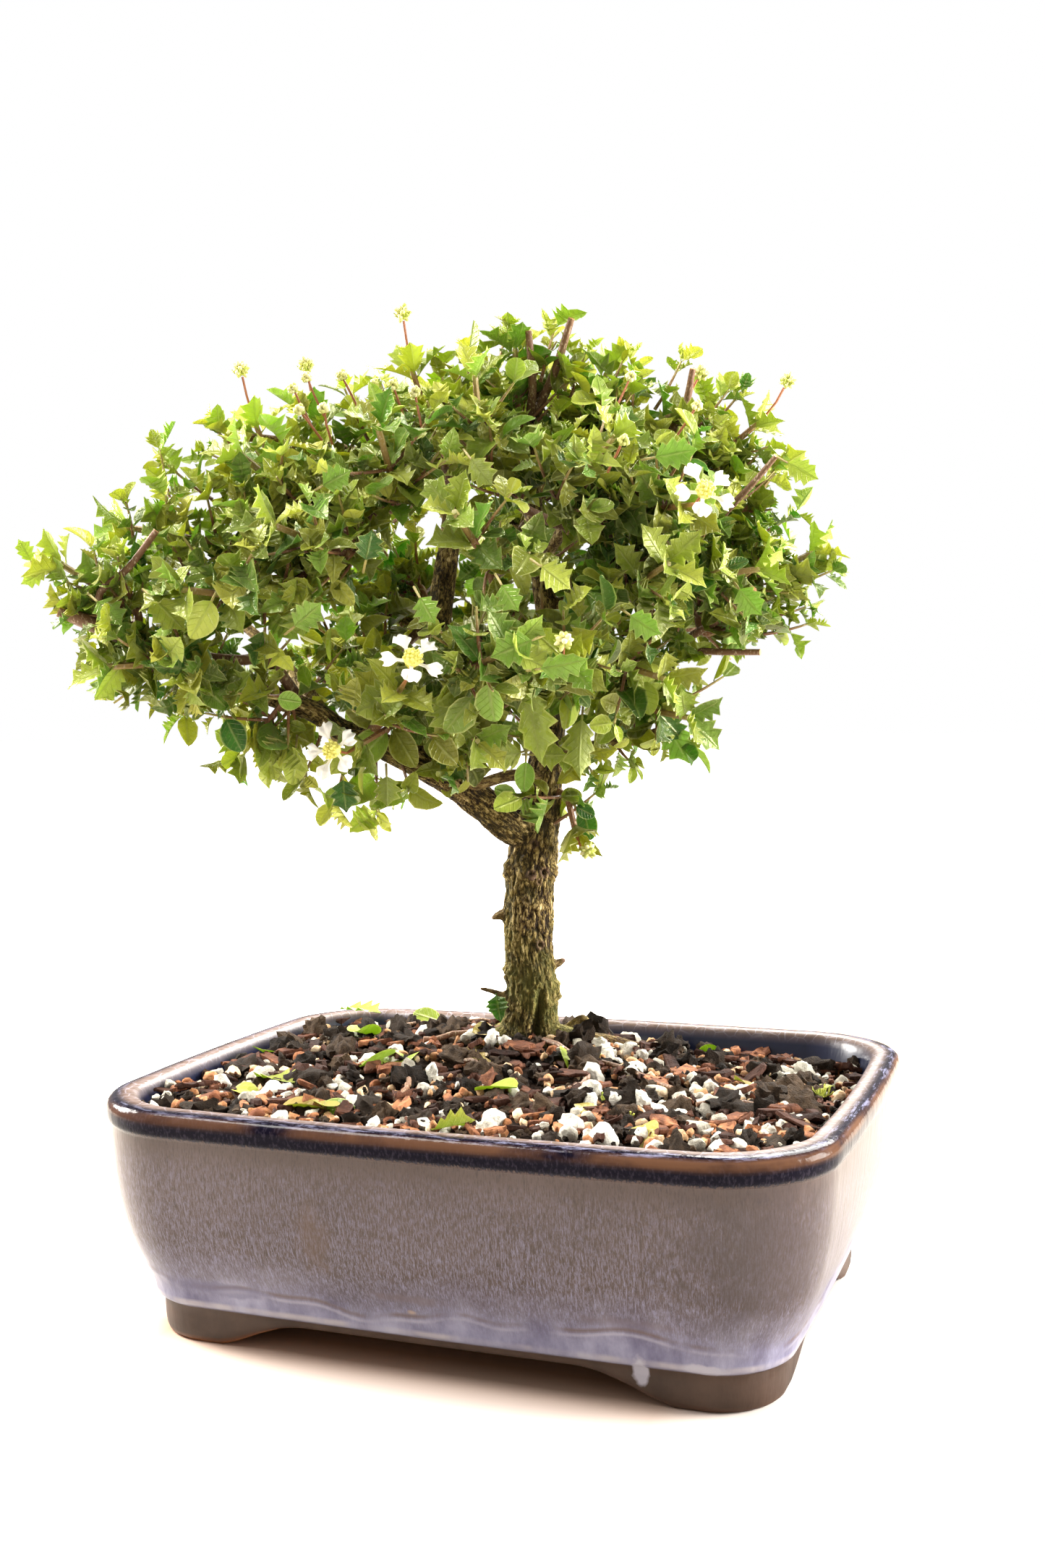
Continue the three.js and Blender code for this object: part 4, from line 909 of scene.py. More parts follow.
def fork_for(start, along):
    """The place on the wood from which a branchlet reaches a stem with least length and turning."""
    best = None
    for path in [TRUNK[10:]] + LIMBS:
        path = np.array(path, float)
        points = place(path[:, :3])
        for i in range(1, len(points)):
            for t in FORK_SHARES:
                spot = points[i - 1] * (1 - t) + points[i] * t
                radius = path[i - 1][3] * (1 - t) + path[i][3] * t
                way = start - spot
                reach = np.linalg.norm(way)
                cost = reach * (1 + 0.5 * (1 - way @ along / max(reach, 1)))
                if reach > LEAST_REACH and (best is None or cost < best[0]):
                    best = (cost, spot, radius)
    return best[1], best[2]


def branchlet(spray, index, steps=10):
    """The curve that joins a leafy stem to the wood, and its radii."""
    start, along, _ = stem_of(spray, index)
    fork, thickness = fork_for(start, along)
    reach = np.linalg.norm(start - fork)
    bend = start - along * 0.4 * reach
    t = np.linspace(0, 1, steps + 1)[:, None]
    points = (1 - t) ** 2 * fork + 2 * t * (1 - t) * bend + t ** 2 * start
    thick = min(thickness * 0.8, 1.3 + reach * 0.02)
    return points, thick + (TWIG_RADIUS * 1.1 - thick) * t[:, 0]


def wood_strands():
    """Each limb's places, radii, axes, distances along the grain, and whether it is cut there."""
    strands = []
    for path in [TRUNK] + LIMBS + ROOTS + SMALL_WOOD[:1] + STUBS + SMALL_WOOD[1:]:
        points, radii = smooth_path(path, 1.5)
        steps = np.linalg.norm(np.diff(points, axis=0), axis=1)
        distance = np.concatenate([[0], np.cumsum(steps)]) + 40 * len(strands)
        cut = np.zeros(len(points))
        cut[-1] = path in STUBS
        strands.append((points, radii, *path_axes(points), distance, cut))
    return strands


def fused_wood(strands, low, high, voxel):
    """The stretches of the strands between two heights, fused into one skin."""
    build = Build()
    for number, (points, radii, *_) in enumerate(strands):
        held = np.flatnonzero((points[:, 2] >= low) & (points[:, 2] <= high))
        if len(held) < 3:
            continue
        held = slice(held[0], held[-1] + 1)
        sides, flutes = 14, 1.0
        if number == 0:
            sides = 28
            foot = np.clip((FLUTED_HEIGHT - points[held, 2]) / FLUTED_REACH, 0, 1)[:, None]
            flutes = 1 + FLUTE_DEPTH * foot * np.cos(3 * np.arange(sides) / sides * 2 * math.pi + 0.8)
        build.add(*tube(points[held], radii[held], sides, flutes))
    raw = in_scene("raw_wood", build.mesh("raw_wood"))
    remesh = raw.modifiers.new("fuse", "REMESH")
    remesh.mode = "VOXEL"
    remesh.voxel_size = voxel
    ease = raw.modifiers.new("ease", "SMOOTH")
    ease.factor = 0.5
    ease.iterations = 4
    fused = bpy.data.meshes.new_from_object(raw.evaluated_get(bpy.context.evaluated_depsgraph_get()))
    bpy.data.objects.remove(raw)
    return fused


def fissures(turn, distance):
    """How deep a place lies in the long fissures of the bark, 0 to 1, and its coarser unevenness."""
    groove, lump = np.empty(len(turn)), np.empty(len(turn))
    long_cell = np.column_stack([turn / FISSURE_SPACING, distance / FISSURE_LENGTH])
    short_cell = np.column_stack([turn / (FISSURE_SPACING * 0.65), distance / (FISSURE_LENGTH * 0.4)])
    wide_cell = np.column_stack([turn / LUMP_SPACING, distance / LUMP_LENGTH])
    for i in range(len(turn)):
        bent = noise.noise_vector(Vector(wide_cell[i]) * 1.7) * 0.6
        deep = 1 - abs(noise.noise(Vector(long_cell[i]) + bent)) / 0.26
        fine = 0.65 - 0.65 * abs(noise.noise(Vector(short_cell[i]) + bent)) / 0.2
        groove[i] = max(deep, fine, 0.0)
        lump[i] = noise.fractal(Vector(wide_cell[i]), 0.9, 2.0, 4)
    return groove, lump


def scar_relief(spots):
    """How the scars lift and hollow the bark, how far they bare the wood, and their middles, darkened with
    painted shade.
    """
    lift, bared, hole = np.zeros((3, len(spots)))
    for *spot, size, hollow in SCARS:
        reach = np.linalg.norm(spots - spot, axis=1) / size
        lift += size * 0.5 * hill(reach, 0.8, 0.4) - size * hollow * 0.8 * hill(reach, 0, 0.5)
        bared = np.maximum(bared, hill(reach, 0.75, 0.2) * min(hollow, 1) * 0.5)
        hole = np.maximum(hole, hill(reach, 0, 0.45) * hollow)
    return lift, bared, hole


def wood_piece(name, strands, low, high, voxel):
    fused = fused_wood(strands, low, high, voxel)
    count = len(fused.vertices)
    points, normals = np.empty(count * 3), np.empty(count * 3)
    fused.vertices.foreach_get("co", points)
    fused.vertex_normals.foreach_get("vector", normals)
    points = (points.reshape(-1, 3) - POT_CENTRE) / MM
    normals = normals.reshape(-1, 3)
    centres, radii, along, across, beside, distance, cut = map(np.concatenate, zip(*strands))
    nearest = np.empty(count, int)
    for first in range(0, count, 4000):
        block = points[first:first + 4000]
        gap = np.linalg.norm(block[:, None] - centres[None], axis=2) - radii
        nearest[first:first + 4000] = gap.argmin(axis=1)
    radius = radii[nearest]
    way = points - centres[nearest]
    grain = np.column_stack([np.einsum("ij,ij->i", way, axis[nearest]) for axis in (across, beside, along)])
    grain[:, 2] += distance[nearest]
    groove, lump = fissures(unit(grain[:, :2]) * radius[:, None], grain[:, 2])
    strength = np.clip((radius - 1.6) / 5.5, 0.08, 1)
    spots = from_foot(points)
    lift, bared, hole = scar_relief(spots)
    cleft_line = CLEFT_FOOT_RIGHT + (spots[:, 2] - CLEFT_FOOT_HEIGHT) * CLEFT_LEAN
    cleft = hill(spots[:, 0], cleft_line, CLEFT_WIDTH) * (spots[:, 1] < 0)
    cleft *= np.clip((CLEFT_TOP - spots[:, 2]) / 10, 0, 1) * (radius > 5)
    depth = (groove * FISSURE_DEPTH - lump * LUMP_DEPTH) * strength - lift + CLEFT_DEPTH * cleft
    points = points - normals * depth[:, None]
    fused.vertices.foreach_set("co", (points * MM + POT_CENTRE).ravel())
    # Painted shade darkens the cleft and the scar hollows; the grooves are darker and the lumps lighter,
    # partly the bark's colour and partly painted shade and light
    ridge_and_painted_shade = 0.62 - 0.6 * groove * np.clip(strength * 1.5, 0.25, 1) + 0.22 * lump - 1.1 * cleft - 0.6 * hole
    set_values(fused, "ridge_and_painted_shade", np.clip(ridge_and_painted_shade, 0, 1))
    for name_of_axis, column in zip("xyz", grain.T):
        set_values(fused, "grain_" + name_of_axis, column * MM)
    set_values(fused, "moss", np.clip(1.2 - (points[:, 2] - 62) / 60, 0.15, 1))
    set_values(fused, "young", np.clip((3.0 - radius) / 2.0, 0, 1))
    set_values(fused, "cut", np.maximum(cut[nearest], bared))
    fused.shade_smooth()
    fused.materials.clear()
    piece(name, fused, [BARK], "bark", "trunk")


def branchlets_piece():
    build = Build()
    sides = 8
    for index, spray in enumerate(SPRAYS):
        points, radii = branchlet(spray, index)
        build.add(*tube(points, radii, sides), young=per_ring(np.linspace(0, 0.7, len(radii)), sides))
    for path in PRUNED:
        points, radii = smooth_path(path, 2.0)
        near_end = points[-1] + (points[-2] - points[-1]) * 0.15
        points, radii = np.vstack([points[:-1], near_end, points[-1:]]), np.append(radii, radii[-1])
        cut = np.zeros(len(radii))
        cut[-1] = 1
        build.add(*tube(points, radii, sides), cut=per_ring(cut, sides),
                  young=per_ring(np.linspace(0.0, 0.25, len(radii)), sides))
    piece("branchlets", build.mesh("branchlets"), [TWIG], "bark")


# Leaves. The rows of a blade, from its stalk to its tip, are shares of its length:
# [along, half-width, lift, forward sweep] of the rim.
HOLLY_ROWS = [
    (0.0, 0.028, 0, 0), (0.075, 0.026, 0, 0), (0.14, 0.14, 0, 0.0), (0.24, 0.33, 0.075, 0.03),
    (0.34, 0.235, -0.01, 0), (0.47, 0.41, 0.09, 0.045), (0.58, 0.26, -0.01, 0), (0.7, 0.36, 0.08, 0.05),
    (0.81, 0.175, -0.005, 0), (0.91, 0.07, 0.005, 0), (1.0, 0.008, -0.01, 0),
]
ROUND_ROWS = [
    (0.0, 0.028, 0, 0), (0.075, 0.026, 0, 0), (0.14, 0.16, 0.01, 0), (0.25, 0.27, 0.02, 0),
    (0.37, 0.33, 0.015, 0), (0.5, 0.355, 0.02, 0), (0.63, 0.34, 0.02, 0), (0.76, 0.285, 0.02, 0),
    (0.87, 0.2, 0.015, 0), (0.95, 0.11, 0, 0), (0.985, 0.03, 0, -0.01),
]
THICKNESS = 0.022
WIDEST = 0.41
WIDEST_AT = 0.52
WIDTH_REACH = 0.66
SPINES_FROM = 0.15
SPINES_REACH = 0.46


def spiny_rows(rng, spines):
    """Rows of a blade with its own spines, a different one on each side."""
    def side(at, share):
        widest = WIDEST * (1 - ((at - WIDEST_AT) / WIDTH_REACH) ** 2)
        return widest * share * rng.uniform(0.84, 1.14, 2)

    rows = [(0.0, (0.03, 0.03), 0, 0), (0.08, (0.028, 0.028), 0, 0)]
    rows.append((SPINES_FROM, side(SPINES_FROM, 0.5), 0, 0))
    step = SPINES_REACH / spines
    for k in range(spines):
        at = SPINES_FROM + step * (k + 0.65) + rng.normal(0, 0.012)
        rows.append((at, side(at, 1.0), rng.uniform(0.05, 0.12), 0.045))
        rows.append((at + step * 0.5, side(at + step * 0.5, 0.72), -0.01, 0))
    rows += [(0.84, (0.17, 0.17), 0.0, 0.01), (0.93, (0.07, 0.07), 0, 0), (1.0, (0.006, 0.006), -0.01, 0)]
    return rows


def blade(rows, fine):
    """A closed leaf blade of unit length: points, faces, and its shares of vein, rim, underside and slant."""
    loops = []
    for along, half, lift, sweep in rows:
        left, right = half if isinstance(half, (tuple, np.ndarray)) else (half, half)
        thick = THICKNESS * (1 if left > 0.02 else 0.4)
        inner = min(left * 0.5, 0.14)
        raised = lift * 0.15
        loop = [(-left, along + sweep, lift, 0, 1, 0), (0, along, thick / 2 - 0.006, 1, 0, 0),
                (right, along + sweep, lift, 0, 1, 0), (0, along, -thick / 2 - 0.01, 1, 0, 1)]
        if fine:
            for place_in_loop, side, under in ((1, -1, 0), (3, 1, 0), (5, 1, 1), (7, -1, 1)):
                z = raised + thick * (0.5 - under)
                loop.insert(place_in_loop, (side * inner, along, z, 0.45, 0.4, under))
        loops.append(loop)
    faces = [face[::-1] for face in capped_faces(len(rows), len(loops[0]))]
    table = np.array(loops).reshape(-1, 6)
    slant = table[:, 1] - 0.7 * np.abs(table[:, 0])
    return table[:, :3], faces, table[:, 3], table[:, 4], table[:, 5], slant


HOLLY = blade(HOLLY_ROWS, True)
ROUND = blade(ROUND_ROWS, True)
SPINY = [blade(spiny_rows(np.random.default_rng(60 + k), 3 if k < 5 else 2), False) for k in range(8)]
SMOOTH = blade([row for row in ROUND_ROWS if row[0] not in (0.37, 0.63)], False)


def add_leaf(build, root, along, normal, length, shape, fold=0.2, arch=0.14, width=1.0, twist=0.0, wave=1.0,
             slot=0, **values):
    """One leaf, folded along its midrib, arched along its length and twisted towards its tip."""
    points, faces, vein, rim, under, slant = shape
    along = unit(along)
    normal = unit(normal - along * (normal @ along))
    across = np.cross(along, normal)
    x = points[:, 0] * width
    y = points[:, 1]
    z = points[:, 2] * (1 + (wave - 1) * rim) + fold * np.abs(points[:, 0]) - arch * y * y
    turn = twist * y
    x, z = x * np.cos(turn) - z * np.sin(turn), x * np.sin(turn) + z * np.cos(turn)
    placed = root + length * (across * x[:, None] + along * y[:, None] + normal * z[:, None])
    build.add(placed, faces, slot, vein=vein, rim=rim, under=under, slant=slant, **values)


# Colours of leaves, after whether they show their face, 1, or their underside, -1
SAGE = (-1, dict(tone=0.85, hue=0.3))
LIME = (1, dict(tone=0.7, hue=0.7, young=0.75))
# The last two are one green: a leaf painted as in full light, and one painted in shade
LIT = (1, dict(tone=0.9, hue=0.9, young=0.2))
SHADED_LEAF = (1, dict(tone=0.25, hue=0.9))
# Leaves that stand out in the crown: [base, tip, width, blade, colour], in places like those of the wood
FEATURED = [
    ((2.5, -52, 173.6), (6.6, -54, 151.9), 0.68, HOLLY, SAGE),
    ((-19.7, -56, 173.6), (-18.4, -58, 159.7), 1.2, HOLLY, SAGE),
    ((18.7, -32, 164.9), (16.5, -34, 146.5), 0.68, HOLLY, SAGE),
    ((1, -30, 154.5), (-9, -33, 152.5), 1.1, SPINY[6], SAGE),
    ((4, -26, 153.5), (14, -28, 153.3), 1.1, SPINY[7], SAGE),
    ((2, -35, 152.3), (1.2, -36, 142.9), 0.9, ROUND, LIT),
    ((36.6, -27, 175.5), (39.2, -28, 164.5), 0.95, ROUND, SAGE),
    ((-32, -60, 173), (-44.6, -62, 166.6), 1.2, SPINY[5], SAGE),
    ((-67.7, -52, 171.2), (-60.2, -54, 170), 1, ROUND, LIT),
    ((-73, -38, 158.3), (-70.6, -39, 147.8), 1, ROUND, LIME),
    ((-64.3, -38, 157.6), (-65.3, -39, 146.1), 0.9, ROUND, LIME),
    ((-98.9, -66, 199.3), (-89.4, -68, 190.4), 1.1, HOLLY, LIME),
    ((-81.7, -68, 198.3), (-87.6, -70, 187.3), 1.05, ROUND, LIME),
    ((-115.3, -60, 198.9), (-107.7, -62, 192.1), 1.1, HOLLY, LIT),
    ((-110.5, -52, 181.5), (-118.2, -53, 171.5), 0.9, HOLLY, LIME),
    ((6.3, -86, 204.1), (14.3, -87, 198.3), 1.2, HOLLY, LIME),
    ((4.5, -84, 185.2), (-6.7, -86, 180.6), 1, HOLLY, LIT),
    ((5.4, -82, 177.5), (18.6, -84, 179.3), 0.8, HOLLY, LIT),
    ((-3.9, -84, 199.8), (0.3, -86, 192.5), 1.1, HOLLY, LIT),
    ((37.6, -64, 234.5), (49.7, -66, 236.3), 0.9, HOLLY, LIT),
    ((-83.2, -46, 166.1), (-78.1, -48, 156.3), 1, ROUND, SHADED_LEAF),
    ((-51.1, -38, 148), (-50.2, -39, 138.1), 1.1, HOLLY, SHADED_LEAF),
    ((-38.4, -38, 148.9), (-38.1, -39, 139.5), 1.1, HOLLY, SAGE),
    ((-39.8, -74, 206.9), (-37.7, -76, 214.9), 1.2, HOLLY, SHADED_LEAF),
    ((-25.4, -80, 197.1), (-21.6, -82, 190.1), 1.2, HOLLY, LIT),
    ((-135.6, -50, 210.5), (-138.6, -51, 217), 0.9, HOLLY, LIME),
    ((-131.4, -50, 208.3), (-138.4, -51, 204.2), 0.8, HOLLY, LIME),
    ((44, -14, 163.8), (51.7, -15, 149.7), 0.8, HOLLY, LIT),
    ((17, -6, 136.4), (15, -8, 143), 1.3, ROUND, SAGE), ((18.1, -6, 137), (14.5, -8, 142), 1, ROUND, SAGE),
    ((19.4, -6, 136.5), (21.6, -8, 126.3), 0.9, ROUND, SHADED_LEAF),
    ((17, -8, 137), (23, -9, 133.6), 1, ROUND, SHADED_LEAF),
    ((79, -32, 237.5), (88.1, -33, 232.1), 0.9, HOLLY, LIME),
    ((30, -72, 192), (38, -74, 186), 1.1, HOLLY, LIT), ((-60, -70, 190), (-52, -72, 196), 1.1, HOLLY, LIT),
    ((-52, -66, 228), (-44, -68, 232), 1.1, HOLLY, LIT), ((-12, -60, 236), (-6, -62, 228), 1, HOLLY, SAGE),
    ((62, -52, 200), (68, -53, 192), 1.2, HOLLY, LIT),
]
# Small unopened buds between the stems that bear the large ones
SMALL_BUDS = [
    (-60, -30, 264.6), (-50, -28, 265.4), (-63.5, -34, 260.6), (-40, -34, 261.3), (-60.7, -42, 253),
    (-54, -42, 253.4), (53.4, -32, 254), (34, -36, 262), (-34.6, -34, 261.2), (-28, -40, 258),
    (30, -60, 240), (-4, 30, 262), (-60, 20, 256), (44, 34, 254),
]

TILTS = (1.15, 0.62)
STEM_LEAF_WIDTH = 0.86
OLD_SIZE = 0.88
YOUNG_SIZE = 0.76
SIDE_TWIGS = 13
TWIG_LENGTHS = (12, 23)
TWIG_RISE = 0.12
KNOT_GAPS = (4.2, 5.6)
SMALL_LEAF = 6.4
LEAF_RANGE = 7.2
SIDE_TILT = 1.1
TIP_TILT = 0.75
TIP_SIZE = 0.85
ROUND_LEAVES_BELOW = 165
LONE_BOTTOM = 118
# Leaves are painted lighter towards the top and the left, as painted light, and darker inside, as painted
# shade. Those at the right are greener.
TONE_MIDDLE = 0.46
TONE_SPREAD = 0.29
PAINTED_LIGHT_TOP = 0.14
PAINTED_LIGHT_LEFT = 0.1
PAINTED_SHADE_INSIDE = 0.25
HUE_SHAPE = (0.5, 0.66)
GREENER_RIGHT = 0.25
WARMER_TOP = 0.1
TOP_FROM = 205
TOP_REACH = 70
# The lowest leaves are painted as light as those at the top, with the same painted light
LOW_FROM = 174
LOW_REACH = 22
SIDE_REACH = 80
# The crown's outline as [right, height] from the trunk's foot, seen from its best side
CROWN_EDGE = [
    (-133, 204), (-130, 182), (-118, 168), (-100, 155), (-86, 144), (-68, 140), (-50, 130), (-35, 134),
    (-10, 140), (12, 142), (31, 151), (45, 149), (48, 168), (72, 182), (88, 197), (92, 210),
    (87, 225), (80, 246), (66, 270), (46, 276), (22, 282), (0, 288), (-22, 283), (-45, 277),
    (-80, 268), (-100, 256), (-119, 232), (-134, 214),
]
CROWN_MIDDLE = np.array([-15, 205])
CROWN_DEPTH = 82.0
CROWN_FORWARD = 8
# The part left of this place lies further forward, by this share
SLANT_LEFT_OF = -20
CROWN_SLANT = 0.35
DEEPEST = 0.95
CLEAR_ABOVE = 170
BLOOM_CLEARANCE = 11
# Blooms and bare limbs are kept clear from behind them to before them, in a cone that widens
VIEW_FROM = -4
VIEW_TO = 90
VIEW_WIDENS = 0.06
# Bare stretches of limb that show through the leaves, with the clear radius before them
BARE_LIMBS = [
    ((-22.5, -2, 206), 7), ((-21, 1, 217), 8), ((-20, 2, 228), 6), ((8, 0, 152), 4.5), ((9.5, 0, 162), 4.5),
    ((7, 0, 203), 4), ((7, -2, 262), 6), ((-66, -28, 170), 6), ((-58, -26, 166), 6), ((-50, -22, 160), 7),
    ((-43, -20, 157), 7), ((-34, -17, 153), 7),
]
# Leafy twigs below the crown, from the limbs they grow on: [right, back, height] of both ends
HANGING_TWIGS = [
    ((-50, -24, 159), (-54, -34, 138)), ((-43, -20, 156), (-42, -32, 133)),
    ((-57, -26, 164), (-64, -34, 146)), ((-36, -18, 153), (-31, -30, 142)),
    ((-66, -28, 170), (-78, -36, 152)), ((20, -2, 154), (20, -14, 146)), ((30, -5, 156), (33, -14, 149)),
    ((40, -9, 158), (52, -14, 153)), ((13, -2, 153), (10, -14, 154)), ((43, -10, 160), (44, -18, 166)),
    ((26, -4, 156), (22, -12, 164)), ((-22, -12, 150), (-18, -26, 148)), ((10, -4, 131), (25, -8, 140)),
    ((-88, -34, 179), (-96, -42, 165)), ((-98, -38, 184), (-84, -50, 176)),
    ((-76, -30, 174), (-70, -48, 172)), ((-60, -26, 167), (-58, -46, 166)),
]
# Ends of twigs that reach the crown's edge between the stems
EDGE_TIPS = [
    (-101, -30, 238), (-22, -10, 269), (-14, -6, 275), (22, -6, 274), (-4, -4, 281), (66, -6, 262),
    (76, -6, 243), (96, -10, 206), (88, -12, 195), (-126, -50, 203), (-102, -48, 178), (-40, -12, 265),
    (-62, -20, 256), (-84, -26, 247), (2, -4, 282), (12, -8, 281), (34, -10, 272), (-50, -16, 262),
    (-88, -28, 250), (52, -6, 270), (70, -4, 262), (80, -8, 236), (86, -10, 224), (90, -12, 190),
]
EDGE_REACH = 15.0
# Leafy twigs inside the crown, where it would be thin
INNER_TWIGS = [
    ((-38, 2, 226), (-26, -12, 231)), ((-60, 0, 242), (-48, -14, 250)), ((-36, 6, 236), (-24, -8, 244)),
    ((-64, -18, 172), (-54, -10, 186)), ((-78, -26, 178), (-66, -16, 190)),
    ((-106, -36, 186), (-98, -28, 200)), ((-122, -44, 193), (-112, -34, 180)),
    ((4, -2, 160), (-8, -10, 170)), ((8, -2, 166), (18, -12, 172)), ((-110, -36, 214), (-108, -44, 226)),
    ((-90, -32, 178), (-84, -42, 188)), ((-116, -40, 194), (-119, -46, 184)),
    ((-100, -34, 192), (-102, -44, 202)), ((-60, -16, 178), (-54, -26, 172)),
    ((-94, -34, 206), (-98, -44, 216)), ((-30, -10, 176), (-42, -4, 184)),
    ((-14, -24, 180), (-26, -30, 172)), ((12, 4, 214), (24, 8, 222)), ((-2, 10, 200), (-12, 14, 212)),
    ((-84, -10, 232), (-74, -18, 222)), ((-92, -24, 206), (-82, -34, 214)),
]


def crown_leaf(rng, top, right, shade):
    """The colour values of one leaf, its tone with painted light towards the top and the left and painted
    shade inside.
    """
    middle = TONE_MIDDLE + PAINTED_LIGHT_TOP * top + PAINTED_LIGHT_LEFT * max(-right, 0) - PAINTED_SHADE_INSIDE * shade
    tone = rng.normal(middle, TONE_SPREAD)
    hue = rng.beta(*HUE_SHAPE) + GREENER_RIGHT * max(right, 0) - WARMER_TOP * top
    return dict(tone=float(np.clip(tone, 0, 1)), hue=float(np.clip(hue, 0, 1)))


def stem_leaves(build, spray, index):
    """The stem's own leaves, two crossed pairs at each knot, where the solids have them."""
    points, radii, along = stem_plan(spray, index)
    sides = 6
    knots = spray.get("knots", KNOTS)
    stalk = np.zeros(len(points))
    stalk[3 * knots + 1:] = 1
    build.add(*tube(points, radii, sides, first=along), 1, stalk=per_ring(stalk, sides),
              young=per_ring(np.linspace(0.35, 1, len(points)), sides))
    _, across, beside = path_axes(points, first=along)
    height = spray["at"][2]
    for r in range(3 * knots):
        knot, pair = divmod(r, 3)
        if pair == 0:
            continue
        axis = unit(points[r + 1] - points[r])
        middle = (points[r] + points[r + 1]) / 2
        is_young = knot == knots - 1
        for side in (pair - 1, pair + 1):
            angle = (side + 0.5) * math.pi / 2
            outward = unit(across[r] * math.cos(angle) + beside[r] * math.sin(angle))
            tilt = TILTS[side % 2] * (0.8 if is_young else 1) + spread(index, knot, side + 4, 0.12)
            roll = spread(index, knot, side + 8, 0.2)
            usual = LEAF_LENGTH * (YOUNG_SIZE if is_young else OLD_SIZE)
            size = usual * (1 + spread(index, knot, side, 0.12))
            heading = outward * math.sin(tilt) + axis * math.cos(tilt)
            normal = rotation(roll, heading) @ (axis * math.sin(tilt) - outward * math.cos(tilt))
            shape = ROUND if height < ROUND_LEAVES_BELOW and not is_young else HOLLY
            freshest = 0.9 if is_young and height > ROUND_LEAVES_BELOW else 0.3
            add_leaf(build, middle + outward * TWIG_RADIUS * 0.6, heading, normal, size, shape, arch=0.2,
                     width=STEM_LEAF_WIDTH, twist=spread(index, knot, side + 60, 0.5), wave=1.3,
                     tone=0.2 + 0.7 * draw(index, r, side + 20), hue=draw(index, r, side + 40),
                     young=freshest * draw(r, index, side))


def in_the_way(spot, views):
    """Whether a leaf at this spot would hide a bloom or a bare limb from the side that it faces."""
    for centre, facing, radius in views:
        way = spot - centre
        ahead = way @ facing
        if VIEW_FROM < ahead < VIEW_TO:
            aside = np.linalg.norm(way - facing * ahead)
            if aside < radius + VIEW_WIDENS * ahead:
                return True
    return False


def in_crown(end):
    """Whether a leaf's tip stays inside the crown, which narrows towards its front and back."""
    right, back, height = from_foot(end)
    depth = (back + CROWN_FORWARD - CROWN_SLANT * min(right - SLANT_LEFT_OF, 0)) / CROWN_DEPTH
    if abs(depth) > DEEPEST:
        return False
    x, y = CROWN_MIDDLE + (np.array([right, height]) - CROWN_MIDDLE) / math.sqrt(1 - depth * depth)
    inside = False
    for (x1, y1), (x2, y2) in zip(CROWN_EDGE, CROWN_EDGE[1:] + CROWN_EDGE[:1]):
        if (y1 > y) != (y2 > y) and x < (x2 - x1) * (y - y1) / (y2 - y1) + x1:
            inside = not inside
    return inside


BOX_SLACK = 2.0


def inside_box(spot):
    low, high = (np.array(corner) for corner in CAD_BOX)
    spot = spot * MM + POT_CENTRE
    slack = BOX_SLACK * MM
    return bool((spot > low - slack).all() and (spot < high + slack).all())


def twig_leaf(rng, middle, axis, outward, tip, views, shade, bottom):
    """One leaf of a twig, its face turned up and out, or None where it has no room."""
    tilt = rng.normal(TIP_TILT if tip else SIDE_TILT, 0.2)
    heading = unit(outward * math.sin(tilt) + axis * math.cos(tilt) + rng.normal(0, 0.12, 3))
    sky = unit(UP * 0.8 + unit(middle - place(HEART)) * 0.9 + rng.normal(0, 0.4, 3))
    face = axis * math.sin(tilt) - outward * math.cos(tilt)
    size = (SMALL_LEAF + LEAF_RANGE * rng.random() ** 1.5) * (TIP_SIZE if tip else 1)
    end = middle + heading * size
    if not inside_box(end) or in_the_way(middle + heading * size * 0.5, views):
        return None
    if end[2] < bottom if bottom else not in_crown(end):
        return None
    rounded = rng.random() < 0.08 + 0.4 * shade + (0.25 if end[2] < ROUND_LEAVES_BELOW else 0)
    shape = SMOOTH if rounded else SPINY[rng.integers(len(SPINY))]
    right, _, height = from_foot(end)
    low = np.clip((LOW_FROM - height) / LOW_REACH, 0, 1)
    # top lightens the tone of the highest and the lowest leaves as painted light, and raises their fresh
    # share
    top = float(np.clip((height - TOP_FROM) / TOP_REACH, 0, 1) + 0.9 * low)
    aside = float(np.clip(right / SIDE_REACH, -1, 1))
    fresh = rng.beta(1.0, 2.2) * (1.6 if tip else 0.9) * (0.8 + 0.7 * top) * (1 - 0.6 * shade)
    return dict(
        root=middle + outward * 0.4, along=heading, normal=face * 0.4 + sky, length=size, shape=shape,
        fold=rng.uniform(0.05, 0.55), arch=rng.uniform(-0.1, 0.5), width=rng.uniform(0.72, 1.15),
        twist=rng.normal(0, 0.5), wave=rng.uniform(0.8, 2.6), young=min(fresh, 1.0),
        **crown_leaf(rng, top, aside, shade))


